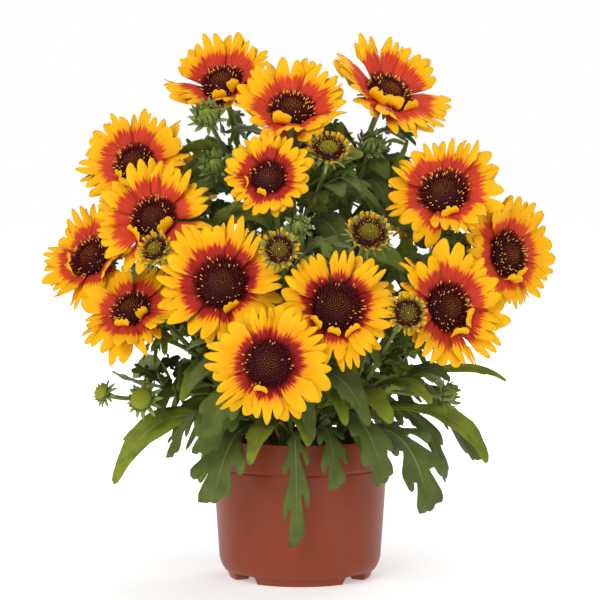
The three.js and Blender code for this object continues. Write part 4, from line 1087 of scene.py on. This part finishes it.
way = xyz(floret_rule, turn.cosine() * lean.sine(), turn.sine() * lean.sine(), lean.cosine())
stand = put(floret_rule, "FunctionNodeAlignRotationToVector", named={"Vector": way}, axis="Z")
tall = wires["Tall"] * dice(floret_rule, 0.75, 1.3, number, wires["Seed"], 3)
girth = wires["Thick"] * dice(floret_rule, 0.85, 1.15, number, wires["Seed"], 4)


def floret_shape(lower, middle, upper):
    """A slim closed tube of 1 mm, told by its radii at the foot, at two thirds and at the top."""
    tube = put(floret_rule, "GeometryNodeMeshCone",
               named={"Vertices": 5, "Side Segments": 3, "Radius Top": upper, "Radius Bottom": lower,
                      "Depth": 1.0})
    place = put(floret_rule, "GeometryNodeInputPosition")
    z = place.axis("Z")
    belly = 1.0 + (z * math.pi).sine() * middle
    tube = stored(floret_rule, tube, "along", z)
    return put(floret_rule, "GeometryNodeSetPosition",
               named={"Geometry": tube, "Position": place * xyz(floret_rule, belly, belly, 1.0)})


opened = planted(floret_rule, points, floret_shape(0.38, -0.15, 0.55), Rotation=stand,
                 Scale=xyz(floret_rule, girth, girth, tall), Selection=share.above(wires["Inner"]))
shut = planted(floret_rule, points, floret_shape(0.55, 0.35, 0.08), Rotation=stand,
               Scale=xyz(floret_rule, girth, girth, tall * 0.40), Selection=share.below(wires["Inner"]))
place = put(floret_rule, "GeometryNodeInputPosition")
x, y, z = map(place.axis, "XYZ")
flat = xyz(floret_rule, x * wires["Radius"] * 0.97, y * wires["Radius"] * 0.97,
           wires["Base"] + z.least(0.0) * wires["Dome"] + z.most(0.0) * 0.8)
core = put(floret_rule, "GeometryNodeMeshUVSphere", 24, 10, 1.0)
core = put(floret_rule, "GeometryNodeSetPosition", named={"Geometry": core, "Position": flat})
core = stored(floret_rule, core, "share", (x * x + y * y) ** 0.5)
end_rule(floret_rule, merged(floret_rule, core, shut, opened), wires["Finish"])


def floret_finish(name, inner, middle, outer, deep, tips, spots, border, shade=0.4):
    """A material for florets: colours from the middle of the disc out, of the painted shade deep between
    them, which darkens each floret towards its foot, of the pollen on their tips, and of the closed ones'
    tops. border is where on the radius the outer ones start, and shade the share of that painted shade inside
    it."""
    material, tree, shader = finish(name, 0.6, 0.12)
    share, along, tipped = painted(tree, "share", "along", "tipped")
    near = blend(tree, share.ramp(0.15, 0.5), inner, middle)
    outside = share.ramp(border, border + 0.1)
    ground = blend(tree, outside, near, outer)
    # Painted shade: each floret darkens towards its foot, where the packed florets shade each other.
    shaded = blend(tree, along.ramp(0.7, 0.1) * (outside * (0.9 - shade) + shade), ground, deep)
    spotted = blend(tree, along.ramp(0.80, 0.93) * (1.0 - outside), shaded, spots)
    feed(shader, Base_Color=blend(tree, along.ramp(0.55, 0.8) * tipped * outside, spotted, tips))
    return material


# The fourth colour of each is painted shade, deep between the florets.
ripe_florets = floret_finish(
    "ripe florets", (0.46, 0.135, 0.014), (0.32, 0.060, 0.012), (0.105, 0.007, 0.008), (0.020, 0.001, 0.001),
    (0.80, 0.38, 0.05), (0.085, 0.008, 0.003), 0.48)
young_florets = floret_finish(
    "young florets", (0.60, 0.58, 0.018), (0.56, 0.52, 0.016), (0.080, 0.007, 0.007), (0.035, 0.005, 0.004),
    (0.75, 0.36, 0.02), (0.70, 0.66, 0.05), 0.54, 0.06)
green_florets = floret_finish(
    "green florets", (0.46, 0.46, 0.020), (0.38, 0.40, 0.028), (0.28, 0.33, 0.04), (0.20, 0.23, 0.02),
    (0.50, 0.50, 0.06), (0.56, 0.54, 0.04), 0.8)

# Each closed disc: its width, dome, how far out its shut florets go and how tall they are, as shares.
SHUT_DISCS = {
    "young": (1.08, 0.28, 0.58, 0.24, young_florets),
    "button": (0.84, 0.62, 1.1, 0.2, green_florets),
    "bud": (0.56, 0.56, 1.1, 0.2, green_florets)}


def dome_of(head, seed):
    """The florets of a head, in their place."""
    disc = head["disc"]
    if head["kind"] == "bloom":
        seat = RAY_PLATE + GAP + 0.9 * math.tan(math.radians(head["cup"] + 5))
        sizes = dict(Florets=int(disc * disc * 0.84), Radius=disc * 0.86, Dome=disc * DISC_DOME * 0.66,
                     Base=seat, Inner=0.54, Tall=disc * 0.25, Thick=0.76, Splay=0.95,
                     Tipped=0.40 - 0.36 * head["deep"], Finish=ripe_florets)
    else:
        wide, high, inner, tall, colours = SHUT_DISCS[head["kind"]]
        sizes = dict(Florets=int(disc * disc * 2.8 * wide ** 2), Radius=disc * wide, Dome=disc * high,
                     Base=1.0, Inner=inner, Tall=disc * tall, Thick=0.52, Splay=0.9, Tipped=0.14,
                     Finish=colours)
    dome = grown(head["name"] + "_dome", floret_rule, Seed=seed, **sizes)
    dome.transform(turn_to(head))
    return dome


# ------------------------------------------------------------------------------
# Rays: soft broad petals round each disc, yellow at the tips and red at the foot, and lobed and grooved at
# the end. One to three of a bloom's roll in over its disc. A young head's are short, and part of its head.
# ------------------------------------------------------------------------------
RAY_COUNT, RAY_THICKNESS, RAY_HALF = 15, 0.45, 0.262  # a ray's half width is a share of its length
RAY_HUB, CURL_HUB = 0.74, 0.84  # how far out on the disc they spring from
CURLS = (2, 1, 3, 1, 2)  # petals rolled in over the edge of a disc, for one bloom after another

ray_skin, tree, shader = finish("two-coloured ray", 0.55, 0.1)
along, across, tone, red, deep, blade = painted(tree, "along", "across", "tone", "red", "deep", "blade")
streaks = noise(tree, xyz(tree, across * 3.2 + blade * 7.3, along * 0.9, tone * 9.0), 2.2, 2.0)
fibres = noise(tree, xyz(tree, across * 14.0 + blade * 3.1, along * 1.5, 0.0), 2.0, 2.0)
ragged = along - red + (streaks - 0.5) * 0.5 + (fibres - 0.5) * 0.3 + across * across * 0.09
past_red = ragged.ramp(-0.10, 0.11)
coral = blend(tree, fibres.ramp(0.3, 0.7), (0.50, 0.022, 0.012), (0.68, 0.085, 0.030))
crimson = blend(tree, fibres.ramp(0.3, 0.7), (0.15, 0.002, 0.006), (0.36, 0.007, 0.014))
reds = blend(tree, deep, coral, crimson)
foot = blend(tree, along.ramp(0.22, 0.02), reds, (0.070, 0.002, 0.004))
golden = blend(tree, along.ramp(0.35, 0.9) * 0.6 + fibres * 0.5, (0.72, 0.280, 0.001), (0.81, 0.425, 0.004))
# Painted highlight: each ray is lighter yellow towards its edges.
gold_with_painted_highlight = blend(tree, across.size().ramp(0.75, 1.0) * 0.4, golden, (0.84, 0.50, 0.018))
turning = blend(tree, past_red.ramp(0.0, 0.55), foot, (0.72, 0.13, 0.006))
feed(shader, Base_Color=blend(tree, past_red.ramp(0.35, 1.0), turning, gold_with_painted_highlight),
     Normal=bump(tree, fibres, 0.0003))


def joined(name, meshes):
    """One mesh from several, with their finishes and attributes kept."""
    parts = [in_scene(mesh.name, mesh) for mesh in meshes]
    with bpy.context.temp_override(active_object=parts[0], object=parts[0], selected_objects=parts,
                                   selected_editable_objects=parts):
        bpy.ops.object.join()
    one = parts[0].data
    bpy.data.objects.remove(parts[0])
    one.name = name
    return one


def petals_of(head, seed, **sizes):
    """A ring of petals of these sizes, in its place."""
    ring = grown(head["name"] + "_petals", ring_rule, None, RAY_THICKNESS, Seed=seed, Finish=ray_skin,
                 **sizes)
    ring.transform(turn_to(head))
    return ring


for index, (_, _, heads) in enumerate(STEMS):
    for k, head in enumerate(heads):
        seed = 100 * index + 10 * k + 7
        name, disc, ray, deep = head["name"], head["disc"], head["ray"], head.get("deep")
        down = earthwards(head)
        if head["kind"] == "button":
            in_place(name + "_button", dome_of(head, seed), "green_button", name)
        if head["kind"] == "young":
            rays = petals_of(
                head, seed, Blades=20, Rows=7, Columns=7, Hub=disc * 1.07, Length=6.8, Half=disc * 0.16,
                Cup=36.0, Stagger=14.0, Bend=24.0, Wild=12.0, Hang=6.0, Down=down, Spread=2 * math.pi,
                Notch=0.02, Red=0.2, Deep=0.8)
            in_place(name + "_head", joined(name, [rays, dome_of(head, seed)]), "young_head", name)
        if head["kind"] == "bloom":
            rays = petals_of(
                head, seed, Blades=RAY_COUNT, Rows=9, Columns=19, Hub=disc * RAY_HUB,
                Length=ray - disc * RAY_HUB / math.cos(math.radians(head["cup"])), Half=ray * RAY_HALF,
                Cup=head["cup"] - 2.5, Stagger=12.0, Bend=-10.0, Wild=7.0, Hang=16.0, Down=down,
                Spread=2 * math.pi, Notch=0.36, Groove=0.75, Base=-0.3, Red=head["red"], Deep=deep)
            curls = petals_of(
                head, seed + 5, Blades=CURLS[(index + k) % len(CURLS)], Rows=10, Columns=10,
                Hub=disc * CURL_HUB, Length=ray * 0.42, Half=ray * 0.15, Cup=40.0, Stagger=12.0, Bend=112.0,
                Wild=9.0, Facing=math.atan2(down[1], down[0]) + 0.9 * math.sin(seed), Spread=2.2, Notch=0.12,
                Base=0.4, Red=0.4, Deep=deep)
            in_place(name + "_petals", joined(name, [rays, curls]), "ray_petals", name + "_rays")
            in_place(name + "_florets", dome_of(head, seed), "disc_florets", name + "_disc")


# ------------------------------------------------------------------------------
# Whole stems: a stem is one living piece, so its stalks, leaves, bracts and closed buds are joined. Its foot
# stands in the soil, and each open head sits on the green seat at the end of its stalk.
# ------------------------------------------------------------------------------
for index, (name, _, heads) in enumerate(STEMS):
    growth = [stalks_of(name)] + leaves_of(name)
    for k, head in enumerate(heads):
        growth += bracts_of(head, 1000 + 100 * index + 10 * k)
        if head["kind"] == "bud":
            growth.append(dome_of(head, 5000 + 10 * index + k))
    in_place(name + "_foliage", joined(name, growth), "foliage", name)


# ------------------------------------------------------------------------------
# Floor, light and camera: a pale floor in a white studio, which glows as painted light, faintly near the
# plant and full white far off. Four large soft lights stand round the plant, and a small one shines low on
# the pot's left. The camera looks almost level, from above the plant's middle.
# ------------------------------------------------------------------------------
FLOOR_RADIUS, FLOOR_NEAR, FLOOR_FAR, FLOOR_GLOW = 40, 0.25, 1.2, 0.36  # metres, and its own light near by
STUDIO_LIGHT, STUDIO_WHITE = 0.25, 1.0
PLANT_MIDDLE, POT_MIDDLE = (0, 0, 0.22), (0, 0, 0.05)
CAMERA_AT, CAMERA_PITCH, CAMERA_LENS = (0, -1.5, 0.272), 2.5, 120.5

paper, tree, shader = finish("white paper", 0.9)
place = object_place(tree)
away = put(tree, "ShaderNodeVectorMath", place, operation="LENGTH", output="Value")
grain = noise(tree, place, 3.0)
# Painted light: the floor glows, faintly near the plant and full white far off.
feed(shader, Base_Color=blend(tree, grain, (0.88, 0.88, 0.88), (0.92, 0.92, 0.92)),
     Emission_Strength=away.ramp(FLOOR_NEAR, FLOOR_FAR) * (STUDIO_WHITE - FLOOR_GLOW) + FLOOR_GLOW)
shader.inputs["Emission Color"].default_value = (1, 1, 1, 1)
ground = bpy.data.meshes.new("floor")
ground.from_pydata([(FLOOR_RADIUS * math.sin(turn), -FLOOR_RADIUS * math.cos(turn), 0)
                    for turn in np.linspace(0, 2 * math.pi, 65)[:-1]], [], [tuple(range(64))])
ground.materials.append(paper)
floor = in_scene("floor", ground)

world = bpy.data.worlds.new("studio")
world.use_nodes = True
tree = world.node_tree
seen = put(tree, "ShaderNodeLightPath", output="Is Camera Ray")
glow = seen * (STUDIO_WHITE - STUDIO_LIGHT) + STUDIO_LIGHT
tree.links.new(glow.socket, tree.nodes["Background"].inputs["Strength"])
tree.nodes["Background"].inputs["Color"].default_value = (1, 1, 1, 1)
bpy.context.scene.world = world
bpy.context.scene.view_settings.view_transform = "Standard"


def softbox(name, at, aim, size, power):
    """A square soft light of this size in metres and power in watts."""
    lamp = bpy.data.lights.new(name, "AREA")
    lamp.size, lamp.energy = size, power
    box = in_scene(name, lamp)
    box.location = at
    box.rotation_euler = (Vector(aim) - Vector(at)).to_track_quat("-Z", "Y").to_euler()


softbox("key", (-0.9, -1.9, 1.5), PLANT_MIDDLE, 1.3, 34.5)
softbox("fill", (1.6, -1.4, 0.9), PLANT_MIDDLE, 1.4, 12)
softbox("top", (0.2, 0.2, 2.2), PLANT_MIDDLE, 1.5, 17)
softbox("back", (0.9, 1.9, 1.4), PLANT_MIDDLE, 1.4, 20)
softbox("low side", (-1.5, -1.1, 0.3), POT_MIDDLE, 0.7, 3.5)

camera = in_scene("camera", bpy.data.cameras.new("camera"))
camera.data.lens, camera.data.sensor_width = CAMERA_LENS, 36
camera.location = CAMERA_AT
camera.rotation_euler = (math.radians(90 - CAMERA_PITCH), 0, 0)
bpy.context.scene.camera = camera
